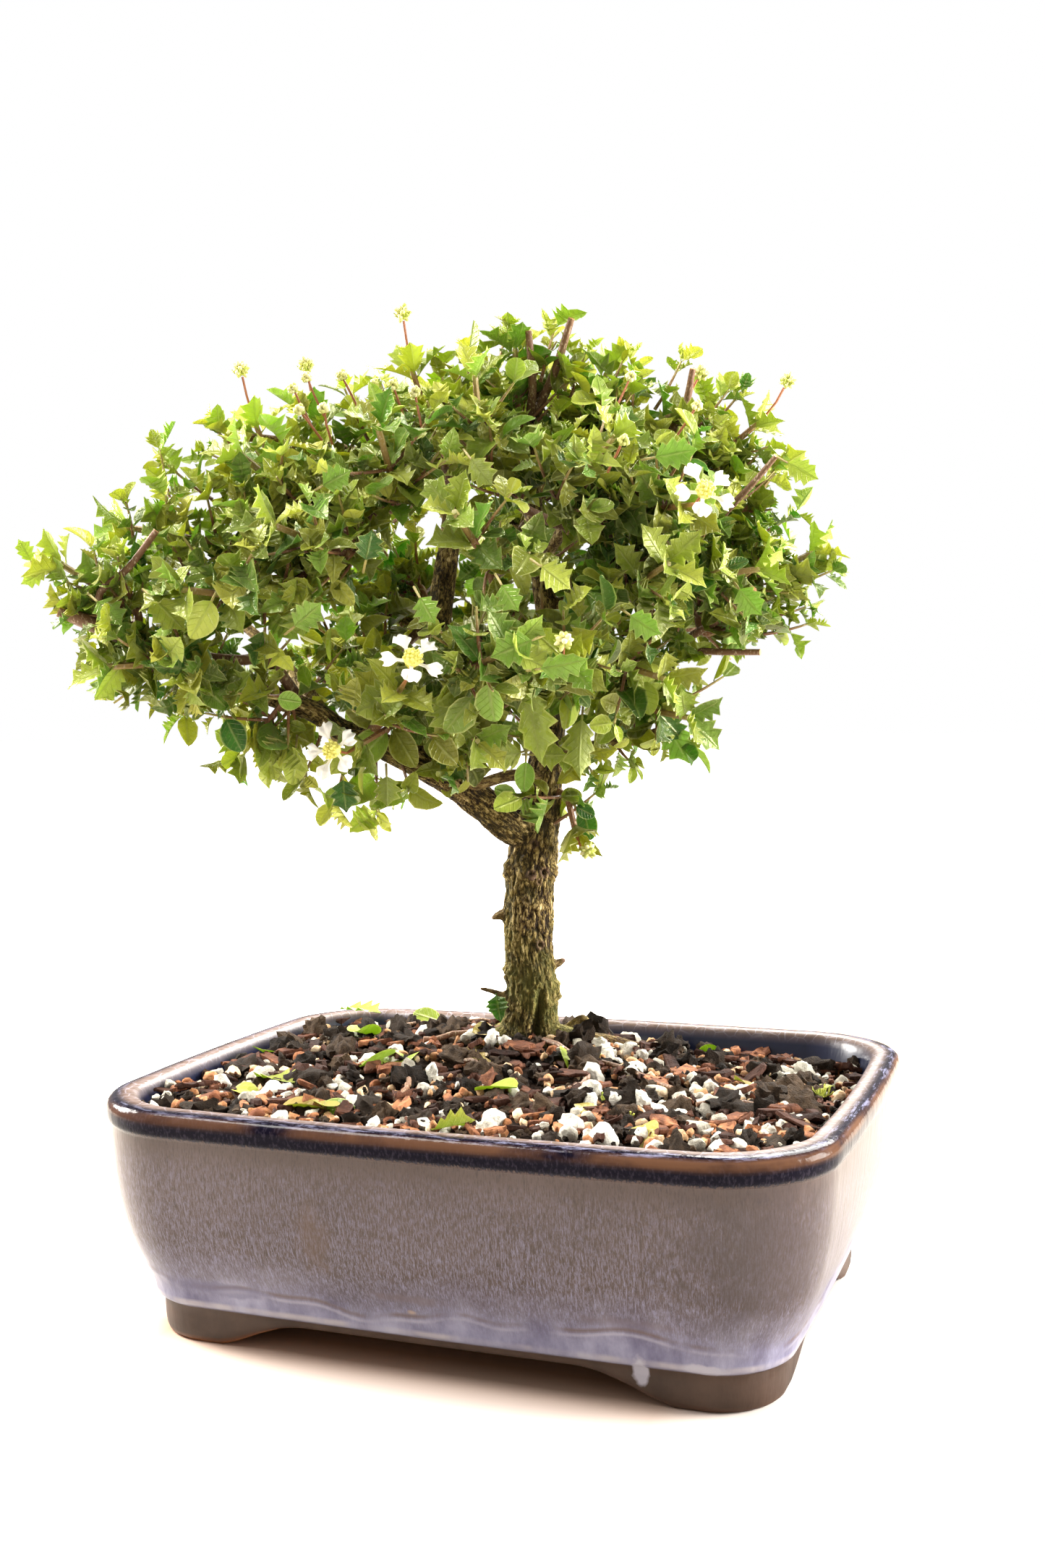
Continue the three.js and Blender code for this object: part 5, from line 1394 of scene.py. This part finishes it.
def side_twig(build, rng, start, end, views, shade, bottom=None):
    """A thin twig with opposite leaves."""
    length = np.linalg.norm(end - start)
    direction = (end - start) / length
    side = unit(np.cross(direction, UP + rng.normal(0, 0.2, 3)))
    t = np.linspace(0, 1, 5)
    bend = rng.uniform(-0.2, 0.2) * length
    points = (start + direction * (t * length)[:, None] + side * (bend * t ** 2)[:, None]
              + UP * (TWIG_RISE * length * t ** 2)[:, None])
    knots = max(2, int(length / rng.uniform(*KNOT_GAPS)))
    turn = rng.uniform(0, math.pi)

    def on_twig(share):
        return np.array([np.interp(share, t, column) for column in points.T])

    leaves, reached = [], 0.0
    for knot in range(knots + 1):
        share = min((knot + 0.6) / knots, 1.0)
        middle = on_twig(share)
        axis = unit(on_twig(min(share + 0.1, 1)) - on_twig(share - 0.1))
        for half in (0, 1):
            outward = spoke(axis, turn + knot * math.pi / 2 + half * math.pi + rng.normal(0, 0.2), side)
            leaf = twig_leaf(rng, middle, axis, outward, knot >= knots - 1, views, shade, bottom)
            if leaf:
                reached = share
                leaves.append(leaf)
    if len(leaves) < 3:
        return
    held = np.array([on_twig(share) for share in t * min(reached + 0.05, 1)])
    build.add(*tube(held, np.linspace(0.6, 0.32, len(t)), 5), 1,
              young=per_ring(np.linspace(0.2, 0.95, len(t)), 5))
    for leaf in leaves:
        add_leaf(build, **leaf)


def stem_pieces(plans, views):
    """Each leafy stem with the side twigs that spring from it and from its branchlet."""
    for index, (spray, (points, _, along)) in enumerate(zip(SPRAYS, plans)):
        rng = np.random.default_rng(1000 + index)
        build = Build()
        stem_leaves(build, spray, index)
        depth = np.linalg.norm(points[0] - place(HEART))
        shade = float(np.clip(1.3 - depth / 70, 0, 1))
        wood = np.vstack([branchlet(spray, index)[0][3:], points[1:4]])
        lone = spray.get("knots", KNOTS) == 1
        twigs = 1 if lone else SIDE_TWIGS
        for k in range(twigs):
            at = wood[int((k + rng.random()) / twigs * (len(wood) - 1))]
            outward = spoke(along, k * GOLDEN_ANGLE + rng.normal(0, 0.3))
            lean = rng.uniform(0.75, 1.3)
            direction = unit(outward * math.sin(lean) + along * math.cos(lean) + UP * 0.15)
            end = at + direction * rng.uniform(*TWIG_LENGTHS)
            side_twig(build, rng, at, end, views, shade, LONE_BOTTOM if lone else None)
        name = f"leaves_{index + 1:02d}"
        piece(name, build.mesh(name), [LEAF, TWIG], "leaf", f"spray_{index + 1:02d}")


def outer_leaves(views):
    """The twigs between the stems, and the leaves that stand out."""
    rng = np.random.default_rng(1900)
    build = Build()
    hanging, inner = place(HANGING_TWIGS), place(INNER_TWIGS)
    edge = [(tip + unit(place(HEART) - tip) * EDGE_REACH, tip) for tip in place(EDGE_TIPS)]
    for twigs, shade, drop in ((hanging, 0.3, 12), (inner, 0.6, 20), (edge, 0.1, 12)):
        for start, end in twigs:
            side_twig(build, rng, start, end, views, shade, end[2] - drop)
    for base, tip, width, shape, (turned, colour) in FEATURED:
        root = place(base)
        way = place(tip) - root
        to_camera = unit(CAMERA_PLACE - root)
        normal = to_camera + rng.normal(0, 0.18, 3)
        add_leaf(build, root, way, normal * turned, np.linalg.norm(way), shape, fold=0.1,
                 arch=rng.uniform(0, 0.15), width=width, twist=rng.normal(0, 0.25), **colour)
        stalk = np.array([root - unit(way) * 3 - to_camera * 6, root, root + way * 0.06])
        build.add(*tube(stalk, [0.4, 0.35, 0.3], 5), 1, young=0.9)
    piece("outer_leaves", build.mesh("outer_leaves"), [LEAF, TWIG], "leaf")


def canopy():
    plans = [stem_plan(spray, index) for index, spray in enumerate(SPRAYS)]
    views = []
    for spray, (points, _, _) in zip(SPRAYS, plans):
        bloom = points[-1]
        if spray.get("bears") == "bloom":
            views.append((bloom, unit(bloom - points[-2]), BLOOM_CLEARANCE))
            if bloom[2] > CLEAR_ABOVE:
                views.append((bloom, unit(CAMERA_PLACE - bloom), BLOOM_CLEARANCE))
    bare = [(place(spot), unit(CAMERA_PLACE - place(spot)), radius) for spot, radius in BARE_LIMBS]
    stem_pieces(plans, views + bare)
    outer_leaves(bare)


# Blooms and buds

BUD_AHEAD = 2.4
BLOOM_AHEAD = 2.5
# A sepal's path: [ahead of the knob's middle, out from it]
SEPAL = [(-1.8, 0), (-0.9, 1.8), (0.2, 2.7)]


def bloom_pieces():
    petal, stamen, lime = (grain_finish(name) for name in ("white_petal", "yellow_stamen", "pale_bud"))
    number = {"bud": 0, "bloom": 0}
    for index, spray in enumerate(SPRAYS):
        kind = spray.get("bears")
        if kind is None:
            continue
        number[kind] += 1
        points, _, _ = stem_plan(spray, index)
        facing = unit(points[-1] - points[-2])
        rng = np.random.default_rng(500 + index)
        if kind == "bud":
            build = bud_build(rng, points[-1] + facing * BUD_AHEAD, facing)
            name = f"bud_cluster_{number[kind]}"
            piece(name, build.mesh(name), [lime], "flower_bud", f"bud_{number[kind]}")
            continue
        centre = points[-1] + facing * BLOOM_AHEAD
        for part, make, finish, slot in (("petals", petals_build, petal, "petal"),
                                         ("heart", heart_build, stamen, "bloom_heart")):
            name = f"open_bloom_{number[kind]}_{part}"
            made = make(rng, centre, facing).mesh(name)
            piece(name, made, [finish], slot, f"bloom_{number[kind]}_{part}")
    small_buds(lime)


def small_buds(finish):
    """Pale unopened buds on thin curved stalks, between the large ones."""
    build = Build()
    rng = np.random.default_rng(640)
    points, faces = BALLS[1]
    for centre in place(SMALL_BUDS):
        away = unit(centre - place(HEART))
        foot = centre - away * 9 - UP * 3 + rng.normal(0, 1.2, 3)
        stalk = [foot, (foot + centre) / 2 + away * 0.8, centre - away]
        build.add(*tube(stalk, [0.4, 0.36, 0.34], 6), 1, stalk=1)
        for way in around(11):
            build.add(centre + way * 1.15 + points * rng.uniform(0.65, 0.95), faces, tone=rng.uniform(0.3, 1))
    piece("small_buds", build.mesh("small_buds"), [finish, TWIG], "flower_bud")


def ball(subdivisions):
    work = bmesh.new()
    bmesh.ops.create_icosphere(work, subdivisions=subdivisions, radius=1.0)
    points = np.array([v.co for v in work.verts])
    faces = [tuple(v.index for v in face.verts) for face in work.faces]
    work.free()
    return points, faces


BALLS = {n: ball(n) for n in (1, 2, 3)}


def around(count):
    """Directions spread evenly over a ball."""
    height = 1 - 2 * (np.arange(count) + 0.5) / count
    turn = np.arange(count) * GOLDEN_ANGLE
    flat = np.sqrt(1 - height * height)
    return np.column_stack([flat * np.cos(turn), flat * np.sin(turn), height])


def bud_build(rng, centre, facing):
    """A knob of packed small buds, each with a little point, over a few narrow sepals."""
    build = Build()
    points, faces = BALLS[2]
    build.add(centre + points * 1.3, faces, tone=0.2)
    for way in around(18):
        stretched = points * rng.uniform(0.55, 0.85)
        stretched += np.outer(np.maximum(points @ way, 0) ** 2, way) * rng.uniform(0.3, 1.0)
        build.add(centre + way * 1.5 + stretched, faces, tone=rng.uniform(0.2, 1))
    for k in range(5):
        outward = spoke(facing, k * GOLDEN_ANGLE)
        path = [centre + facing * ahead + outward * out for ahead, out in SEPAL]
        build.add(*tube(path, [0.3, 0.42, 0.1], 5), tone=0.1)
    return build


# [share of the radius, half-width, lift] along a petal, from its claw to its fringed edge
PETAL_ROWS = [
    (0.2, 0.07, 0.0), (0.36, 0.055, 0.03), (0.48, 0.06, 0.07), (0.58, 0.13, 0.12), (0.69, 0.23, 0.16),
    (0.8, 0.28, 0.17), (0.91, 0.3, 0.14), (1.0, 0.3, 0.09),
]
FRINGE = [-0.07, -0.01, 0.01, -0.05, -0.08, 0.0, 0.03, 0.0, -0.07, -0.06, 0.01, -0.02, -0.08]
BLOOM_RADIUS = 8.7
PETAL_THICKNESS = 0.028
STAMENS = 26


def sheet_faces(count, wide):
    """Faces of a thin closed sheet of points in rows, first its upper side and then its lower."""
    low = count * wide
    faces = []
    for r in range(count - 1):
        for c in range(wide - 1):
            a = r * wide + c
            faces.append((a, a + wide, a + wide + 1, a + 1))
            faces.append((low + a, low + a + 1, low + a + wide + 1, low + a + wide))
    edge = list(range(wide)) + [r * wide + wide - 1 for r in range(1, count)]
    edge += [(count - 1) * wide + c for c in range(wide - 2, -1, -1)]
    edge += [r * wide for r in range(count - 2, 0, -1)]
    for a, b in zip(edge, edge[1:] + edge[:1]):
        faces.append((a, b, low + b, low + a))
    return faces


def petals_build(rng, centre, facing):
    build = Build()
    faces = sheet_faces(len(PETAL_ROWS), len(FRINGE))
    t = np.linspace(-1, 1, len(FRINGE))
    for petal in range(5):
        outward = spoke(facing, math.radians(petal * 72 + rng.normal(0, 5)))
        beside = np.cross(facing, outward)
        cup = rng.uniform(0.4, 1.6)
        rows = []
        for side in (0.5, -0.5):
            for share, half, lift in PETAL_ROWS:
                fringe = np.array(FRINGE) * max(0.0, (share - 0.7) / 0.28)
                out = share + fringe - 0.12 * t * t * max(share - 0.45, 0) * 2
                ruffle = 0.05 * np.sin(7 * t + petal) * max(share - 0.5, 0) * 2
                rise = lift * cup + ruffle + side * PETAL_THICKNESS
                spot = outward * out[:, None] + beside * (half * t)[:, None] + facing * rise[:, None]
                rows.append(centre + BLOOM_RADIUS * spot)
        build.add(np.vstack(rows), faces, tone=rng.uniform(0.5, 0.9))
    return build


def heart_build(rng, centre, facing):
    """A dome of yellow stamens on a short green cup."""
    build = Build()
    cup = [centre + facing * ahead for ahead in (-2.4, -1.2, -0.2, 0.6)]
    build.add(*tube(cup, [0.8, 1.7, 2.0, 1.4], 12), tone=0.1)
    points, faces = BALLS[2]
    dome = points * 2.5 - np.outer(points @ facing, facing) * 0.7
    build.add(centre + facing * 0.6 + dome, faces, tone=0.75)
    points, faces = BALLS[1]
    for k in range(STAMENS):
        outward = spoke(facing, k * GOLDEN_ANGLE)
        lean = math.sqrt((k + 0.5) / STAMENS)
        foot = centre + outward * lean * 1.3
        tip = centre + facing * (2.9 - 1.7 * lean ** 2 + rng.uniform(-0.3, 0.3)) + outward * lean * 2.8
        build.add(*tube([foot, (foot + tip) / 2, tip], [0.2, 0.17, 0.14], 4), tone=0.6)
        build.add(tip + points * rng.uniform(0.4, 0.58), faces, tone=rng.uniform(0.6, 1.0))
    return build


# Soil

# Heights inside the pot, and how far its wall lies in from the rim there
INNER_PROFILE = ([15.0, 22.0, 61.6], [18.5, 13.4, 8.6])
SOIL_CORNER = 16.0
SOIL_GAP = 0.8
SOIL_BOTTOM = 22.0
FRONT_PILE = 1.8
BED_SHARES = [1, 0.985, 0.96, 0.92, 0.87, 0.8, 0.72, 0.63, 0.53, 0.42, 0.3, 0.18, 0.07]


def soil_height(x, y):
    mound = MOUND_RISE * hill(np.hypot(x - TRUNK_FOOT[0], y - TRUNK_FOOT[1]), 0, MOUND_REACH)
    t = np.clip((x / POT_LENGTH + y / POT_WIDTH - 0.2) / 0.6, 0, 1)
    front = np.clip(-y / POT_WIDTH * 2.4 - 0.1, 0, 1) ** 3
    return SOIL_LEVEL + mound + FRONT_PILE * front - LOW_CORNER_DROP * t * t * (3 - 2 * t)


def soil_rim(z, gap):
    return outline(float(np.interp(z, *INNER_PROFILE)) + gap, z)


def soil_bed():
    build = Build()
    rim = soil_rim(SOIL_LEVEL, SOIL_GAP)
    rings = [soil_rim(SOIL_BOTTOM, SOIL_GAP)]
    for share in BED_SHARES:
        x, y = rim[:, 0] * share, rim[:, 1] * share
        grain = np.array([noise.fractal(Vector((a / 3.2, b / 3.2, 7.0)), 0.7, 2.0, 3) for a, b in zip(x, y)])
        rings.append(np.column_stack([x, y, soil_height(x, y) - 1.6 + 1.3 * grain]))
    build.add(np.vstack(rings), capped_faces(len(rings), len(rim)), tone=0.3)
    piece("soil_bed", build.mesh("soil_bed"), [grain_finish("dark_grit")], "grit", "soil")
CLEAR_ROUND_TRUNK = 9.0

def inside_outline(spot, rim, margin):
    x, y = abs(spot[0]), abs(spot[1])
    half_x, half_y = np.abs(rim[:, 0]).max() - margin, np.abs(rim[:, 1]).max() - margin
    if x > half_x or y > half_y:
        return False
    return np.hypot(max(x - (half_x - SOIL_CORNER), 0), max(y - (half_y - SOIL_CORNER), 0)) < SOIL_CORNER


def stone(rng, size, detail, roughness):
    """A ball cut by random planes and roughened."""
    points, faces = BALLS[detail]
    for _ in range(6):
        plane = unit(rng.normal(size=3))
        over = np.maximum(points @ plane - rng.uniform(0.5, 0.85), 0)
        points = points - over[:, None] * plane
    shift = Vector(rng.uniform(0, 50, 3))
    dents = [noise.fractal(Vector(point) * 1.9 + shift, 0.6, 2.0, 3) for point in points]
    points = points * (1 + roughness * np.array(dents))[:, None]
    points = points * np.array([1.12, 1, 0.82]) * size * rng.uniform(0.8, 1.2, 3)
    return points @ rotation(rng.uniform(0, 2 * math.pi), unit(rng.normal(size=3))), faces


FLAKE_SIDES = 11
# A flake's rings from below to above: [share of its outline, height]
FLAKE_RINGS = ((0.9, -0.5), (1.0, -0.2), (0.97, 0.25), (0.86, 0.5))


def flake(rng, size, detail, roughness):
    """A split flake of bark: a long ragged outline between two uneven faces."""
    turn = np.arange(FLAKE_SIDES) / FLAKE_SIDES * 2 * math.pi + rng.normal(0, 0.14, FLAKE_SIDES)
    reach = rng.uniform(0.62, 1.15, FLAKE_SIDES)
    x = size * reach * np.sign(np.cos(turn)) * np.abs(np.cos(turn)) ** 0.7
    y = size * reach * rng.uniform(0.28, 0.5) * np.sin(turn)
    thick = rng.uniform(0.7, 1.5) * (0.6 + size * 0.1)
    rings = []
    for share, z in FLAKE_RINGS:
        height = thick * (z + roughness * rng.normal(size=FLAKE_SIDES))
        rings.append(np.column_stack([x * share, y * share, height]))
    points = np.vstack(rings)
    points[:, 2] += 0.05 * rng.normal() * points[:, 0] ** 2 / size
    tip = rotation(rng.normal(0, 0.32), unit(rng.normal(size=3)))
    points = points @ (tip @ rotation(rng.uniform(0, 2 * math.pi), UP)).T
    return points, capped_faces(len(FLAKE_RINGS), FLAKE_SIDES)


def scatter(name, count, sizes, finish, seed, make=stone, detail=2, roughness=0.06, sunk=0.25, piled=0.0,
            tones=(0, 1), to_right=0.0, smooth=True):
    """Stones or flakes strewn over the soil, some kinds thicker towards the right and the front."""
    rng = np.random.default_rng(seed)
    build = Build()
    rim = soil_rim(SOIL_LEVEL, 0.3)
    half = np.abs(rim[:, :2]).max(axis=0)
    while count > 0:
        spot = rng.uniform(-1, 1, 2) * half
        size = sizes[0] + (sizes[1] - sizes[0]) * rng.random() ** 1.8
        wanted = np.clip(0.5 + spot[0] / 150 - spot[1] / 120, 0, 1)
        if not inside_outline(spot, rim, size * 0.85) or rng.random() < to_right * (1 - wanted):
            continue
        if np.hypot(*(spot - TRUNK_FOOT)) < CLEAR_ROUND_TRUNK + 0.5 * size:
            continue
        points, faces = make(rng, size, detail, roughness)
        z = soil_height(*spot) + min(size, 3) * sunk * rng.uniform(-1, 1) + piled * rng.random()
        build.add(points + np.array([*spot, z]), faces, tone=rng.uniform(*tones))
        count -= 1
    piece(name, build.mesh(name, smooth), [finish], "grit")


def soil_pieces():
    soil_bed()
    pumice, lava, clay = (grain_finish(name) for name in ("pumice", "lava", "clay"))
    chip = grain_finish("bark_chip", (1, 1, 0.3))
    scatter("soil_crumbs", 1500, (0.5, 1.5), lava, 10, detail=1, roughness=0.3, piled=1.0, tones=(0.1, 1))
    scatter("soil_lava", 210, (2.2, 5.6), lava, 11, detail=3, roughness=0.5, piled=1.0, tones=(0, 0.8))
    scatter("soil_clay", 540, (0.9, 2.3), clay, 12, roughness=0.25, sunk=0.3, piled=1.4, to_right=0.5)
    scatter("soil_chips", 600, (1.8, 8.0), chip, 13, flake, roughness=0.2, sunk=0.2, piled=2.0, smooth=False)
    scatter("soil_pumice", 80, (2.3, 4.2), pumice, 14, detail=3, roughness=0.22, piled=1.4,
            tones=(0.2, 1), to_right=0.5)
    scatter("soil_perlite", 220, (1.0, 2.6), pumice, 15, roughness=0.25, sunk=0.3, piled=1.4,
            tones=(0.2, 1), to_right=0.7)


# Fallen leaves, measured from the pot's middle: [x, y, length, dryness, youth]
FALLEN = [
    (-67, 37, 15, 0, 0.5), (-41, 9, 17, 0, 0.5), (-46, 1, 13, 0, 0.6), (-62, -28, 15, 0.2, 0.5),
    (-31, -49, 12, 0, 0.1), (-41, -55, 14, 0.9, 0.8), (-35, -52, 12, 0.6, 1), (0, -20, 15, 0, 0.9),
    (9, 21, 14, 0, 0.9), (-57, 66, 11, 0, 0.5), (40, 58, 10, 0, 0.4), (7, -66, 11, 0.5, 1),
    (-86, 5, 10, 0, 0.7), (-67, -40, 9, 0.2, 1), (52, -50, 11, 0.7, 0.9), (-24, 38, 10, 1, 0.2),
    (83, 22, 9, 0.3, 0.8), (30, -30, 9, 0.8, 0.7), (-18, 12, 9, 1, 0.4), (62, 14, 9, 1, 0.3),
]
RIM_LEAF = (-88, 61, 66.5)
MOSS_SPROUTS = [(84, 12, 0.9), (44, -34, 0.7), (32, -17, 0.6), (66, 32, 0.6), (14, 27, 0.5)]
# Loose twigs on the soil, as points [x, y], with their radii
LOOSE_TWIGS = [
    ([(-5, 34), (12, 24), (30, 12), (47, -5)], 0.9),
    ([(-43, 30), (-32, 38), (-22, 44)], 1.0),
    ([(-20, 8), (-12, 4), (-4, 6)], 0.8),
    ([(-30, -12), (-24, -22), (-22, -32)], 0.9),
    ([(20, 4), (21, -4), (19, -12)], 0.6),
    ([(-64, 52), (-50, 62), (-34, 64)], 0.8),
    ([(58, -22), (68, -16), (76, -6)], 0.7),
]
TWIG_STEPS = 10
LOW_LEAF = (-8.5, -4.0, 78.5)


def on_soil(x, y, above):
    return np.stack([x, y, soil_height(x, y) + above], axis=-1)


def litter_piece():
    """Fallen leaves, loose twigs and sprouts of moss on the soil, and two leaves apart."""
    rng = np.random.default_rng(77)
    build = Build()
    for x, y, length, dry, young in FALLEN:
        turn = rng.uniform(0, 2 * math.pi)
        heading = np.array([math.cos(turn), math.sin(turn), rng.uniform(0.0, 0.45)])
        root = on_soil(x, y, 2.6) - heading * length * 0.4
        normal = UP + rng.normal(0, 0.3, 3)
        shape = (HOLLY, ROUND, ROUND)[rng.integers(3)]
        add_leaf(build, root, heading, normal, length, shape, fold=rng.uniform(0.1, 0.4),
                 arch=rng.uniform(-0.1, 0.7), twist=rng.normal(0, 0.6), wave=0.4,
                 tone=rng.uniform(0.5, 0.9), dry=dry, young=young * 0.7, hue=0.6)
    add_leaf(build, np.array(RIM_LEAF), np.array([0.9, -0.2, 0.1]), UP, 17, HOLLY, fold=0.1, arch=0.1,
             tone=0.9, young=0.35, hue=0.7)
    add_leaf(build, place(LOW_LEAF), np.array([0.3, -0.4, -0.9]), np.array([0.2, -1, 0.2]), 9, SPINY[1],
             tone=0.4, hue=0.9)
    t = np.linspace(0, 1, TWIG_STEPS)
    for points, radius in LOOSE_TWIGS:
        x, y = np.array(points, float).T
        x, y = (np.interp(t, np.linspace(0, 1, len(x)), v) + rng.normal(0, 0.25, TWIG_STEPS) for v in (x, y))
        path = on_soil(x, y, 2.2 + rng.normal(0, 0.3, TWIG_STEPS))
        build.add(*tube(path, radius * (1 - 0.4 * t), 7), 1, young=rng.uniform(0, 0.35))
    for x, y, size in MOSS_SPROUTS:
        for _ in range(16):
            turn = rng.uniform(0, 2 * math.pi)
            lean = np.array([math.cos(turn), math.sin(turn), 0]) * rng.uniform(0.5, 3.5) * size
            foot = on_soil(x, y, 0.8) + rng.normal(0, 0.8, 3) * [1, 1, 0]
            top = foot + lean + UP * rng.uniform(1.5, 3.5) * size
            path = [foot, foot + lean * 0.2 + (top - foot) * 0.5, top]
            build.add(*tube(path, [0.24, 0.2, 0.3], 4), 2, tone=rng.uniform(0.3, 1))
    sprout = grain_finish("moss_sprout")
    piece("fallen_leaves", build.mesh("fallen_leaves"), [LEAF, TWIG, sprout], "leaf")


# Camera, fitted to the photograph in the pot's own millimetres
CAMERA_PLACE = np.array([166.23, -429.23, 167.66])
CAMERA_RIGHT = unit((0.9346, 0.3553, -0.0168))
CAMERA_FORWARD = unit((-0.3557, 0.9334, -0.0472))
CAMERA_LENS = 37.37


def camera():
    data = bpy.data.cameras.new("camera")
    data.lens = CAMERA_LENS
    data.sensor_width = 36.0
    made = in_scene("camera", data)
    axes = np.column_stack([CAMERA_RIGHT, np.cross(CAMERA_RIGHT, CAMERA_FORWARD), -CAMERA_FORWARD])
    turned = Matrix(axes.tolist()).to_4x4()
    made.matrix_world = Matrix.Translation(Vector(CAMERA_PLACE * MM + POT_CENTRE)) @ turned
    bpy.context.scene.camera = made


# [name, place, target, size, power in watts, colour], in metres
LIGHTS = [
    ("key", (-0.55, -0.3, 1.1), (0, 0, 0.2), 0.4, 26, (1.0, 0.97, 0.92)),
    ("right", (1.0, 0.3, 0.35), (0, 0, 0.08), 0.5, 34, (1.0, 0.98, 0.94)),
    ("left", (-0.9, 0.1, 0.5), (0, 0, 0.2), 0.4, 30, (1.0, 0.97, 0.92)),
    ("back", (0.1, 0.95, 0.95), (0, 0, 0.18), 0.8, 46, (1.0, 0.98, 0.94)),
]
SKY = (1.0, 0.96, 0.9)
SKY_FILL = 0.58
FLOOR_REACH = 8.0
FLOOR_SEEN = (1.0, 0.98, 0.95)
FLOOR_SHADED = (0.4, 0.22, 0.13)
FLOOR_BOUNCE = (0.55, 0.51, 0.46)
# The floor shines white from the first of these distances to the second, and has a warm shadow painted on it
# before the pot
WHITE_FLOOR = (0.13, 0.45)
SHADE_MIDDLE = 0.005
SHADE_HALF = (0.07, 0.1)
SHADE_DEPTH = (-0.118, -0.072)


def floor_finish():
    f = Finish("pale_floor")
    seen = f.node("LightPath", output="Is Camera Ray")
    spot = f.node("TexCoord", output="Object")
    away = f.node("VectorMath", {0: spot}, "Value", operation="LENGTH")
    at = f.node("SeparateXYZ", {0: spot}, "X")
    # Painted shadow: a warm shade is laid on the floor across the pot's width, back from a little before its
    # front edge
    aside = f.level(f.apart(at, SHADE_MIDDLE), *SHADE_HALF, 1, 0)
    ahead = f.level(at.node.outputs["Y"], *SHADE_DEPTH)
    seen_with_painted_shadow = f.mix(f.times(aside, ahead), FLOOR_SEEN, FLOOR_SHADED)
    f.set(Base_Color=f.mix(seen, FLOOR_BOUNCE, seen_with_painted_shadow), Roughness=0.95, Specular_IOR_Level=0.0,
          Emission_Color=(1, 1, 1), Emission_Strength=f.times(f.level(away, *WHITE_FLOOR), seen))
    return f.material


def stage():
    """A seamless white surround: the floor brightens away from the pot until it meets the white world."""
    data = bpy.data.meshes.new("floor")
    corners = [(x * FLOOR_REACH, y * FLOOR_REACH, 0) for x, y in ((-1, -1), (1, -1), (1, 1), (-1, 1))]
    data.from_pydata(corners, [], [(0, 1, 2, 3)])
    data.materials.append(floor_finish())
    in_scene("floor", data)
    world = bpy.data.worlds.new("world")
    bpy.context.scene.world = world
    world.use_nodes = True
    nodes, links = world.node_tree.nodes, world.node_tree.links
    path = nodes.new("ShaderNodeLightPath")
    sky = nodes["Background"]
    sky.inputs["Color"].default_value = (*SKY, 1)
    sky.inputs["Strength"].default_value = SKY_FILL
    white = nodes.new("ShaderNodeBackground")
    white.inputs["Color"].default_value = (1, 1, 1, 1)
    both = nodes.new("ShaderNodeMixShader")
    for i, source in enumerate((path.outputs["Is Camera Ray"], sky.outputs[0], white.outputs[0])):
        links.new(source, both.inputs[i])
    links.new(both.outputs[0], nodes["World Output"].inputs["Surface"])
    for name, place_at, target, size, power, colour in LIGHTS:
        light = bpy.data.lights.new(name, "AREA")
        light.shape = "SQUARE"
        light.size = size
        light.energy = power
        light.color = colour
        made = in_scene(name, light)
        made.location = place_at
        made.rotation_euler = (Vector(target) - Vector(place_at)).to_track_quat("-Z", "Y").to_euler()
    bpy.context.scene.view_settings.view_transform = "Standard"


LEAF = leaf_finish()
TWIG = twig_finish()
BARK = bark_finish()
STRANDS = wood_strands()
camera()
stage()
pot_piece()
wood_piece("trunk_and_roots", STRANDS, 0.0, SEEN_BELOW, FINE_VOXEL)
wood_piece("limbs", STRANDS, SEEN_BELOW - 3, 400.0, COARSE_VOXEL)
branchlets_piece()
canopy()
bloom_pieces()
soil_pieces()
litter_piece()
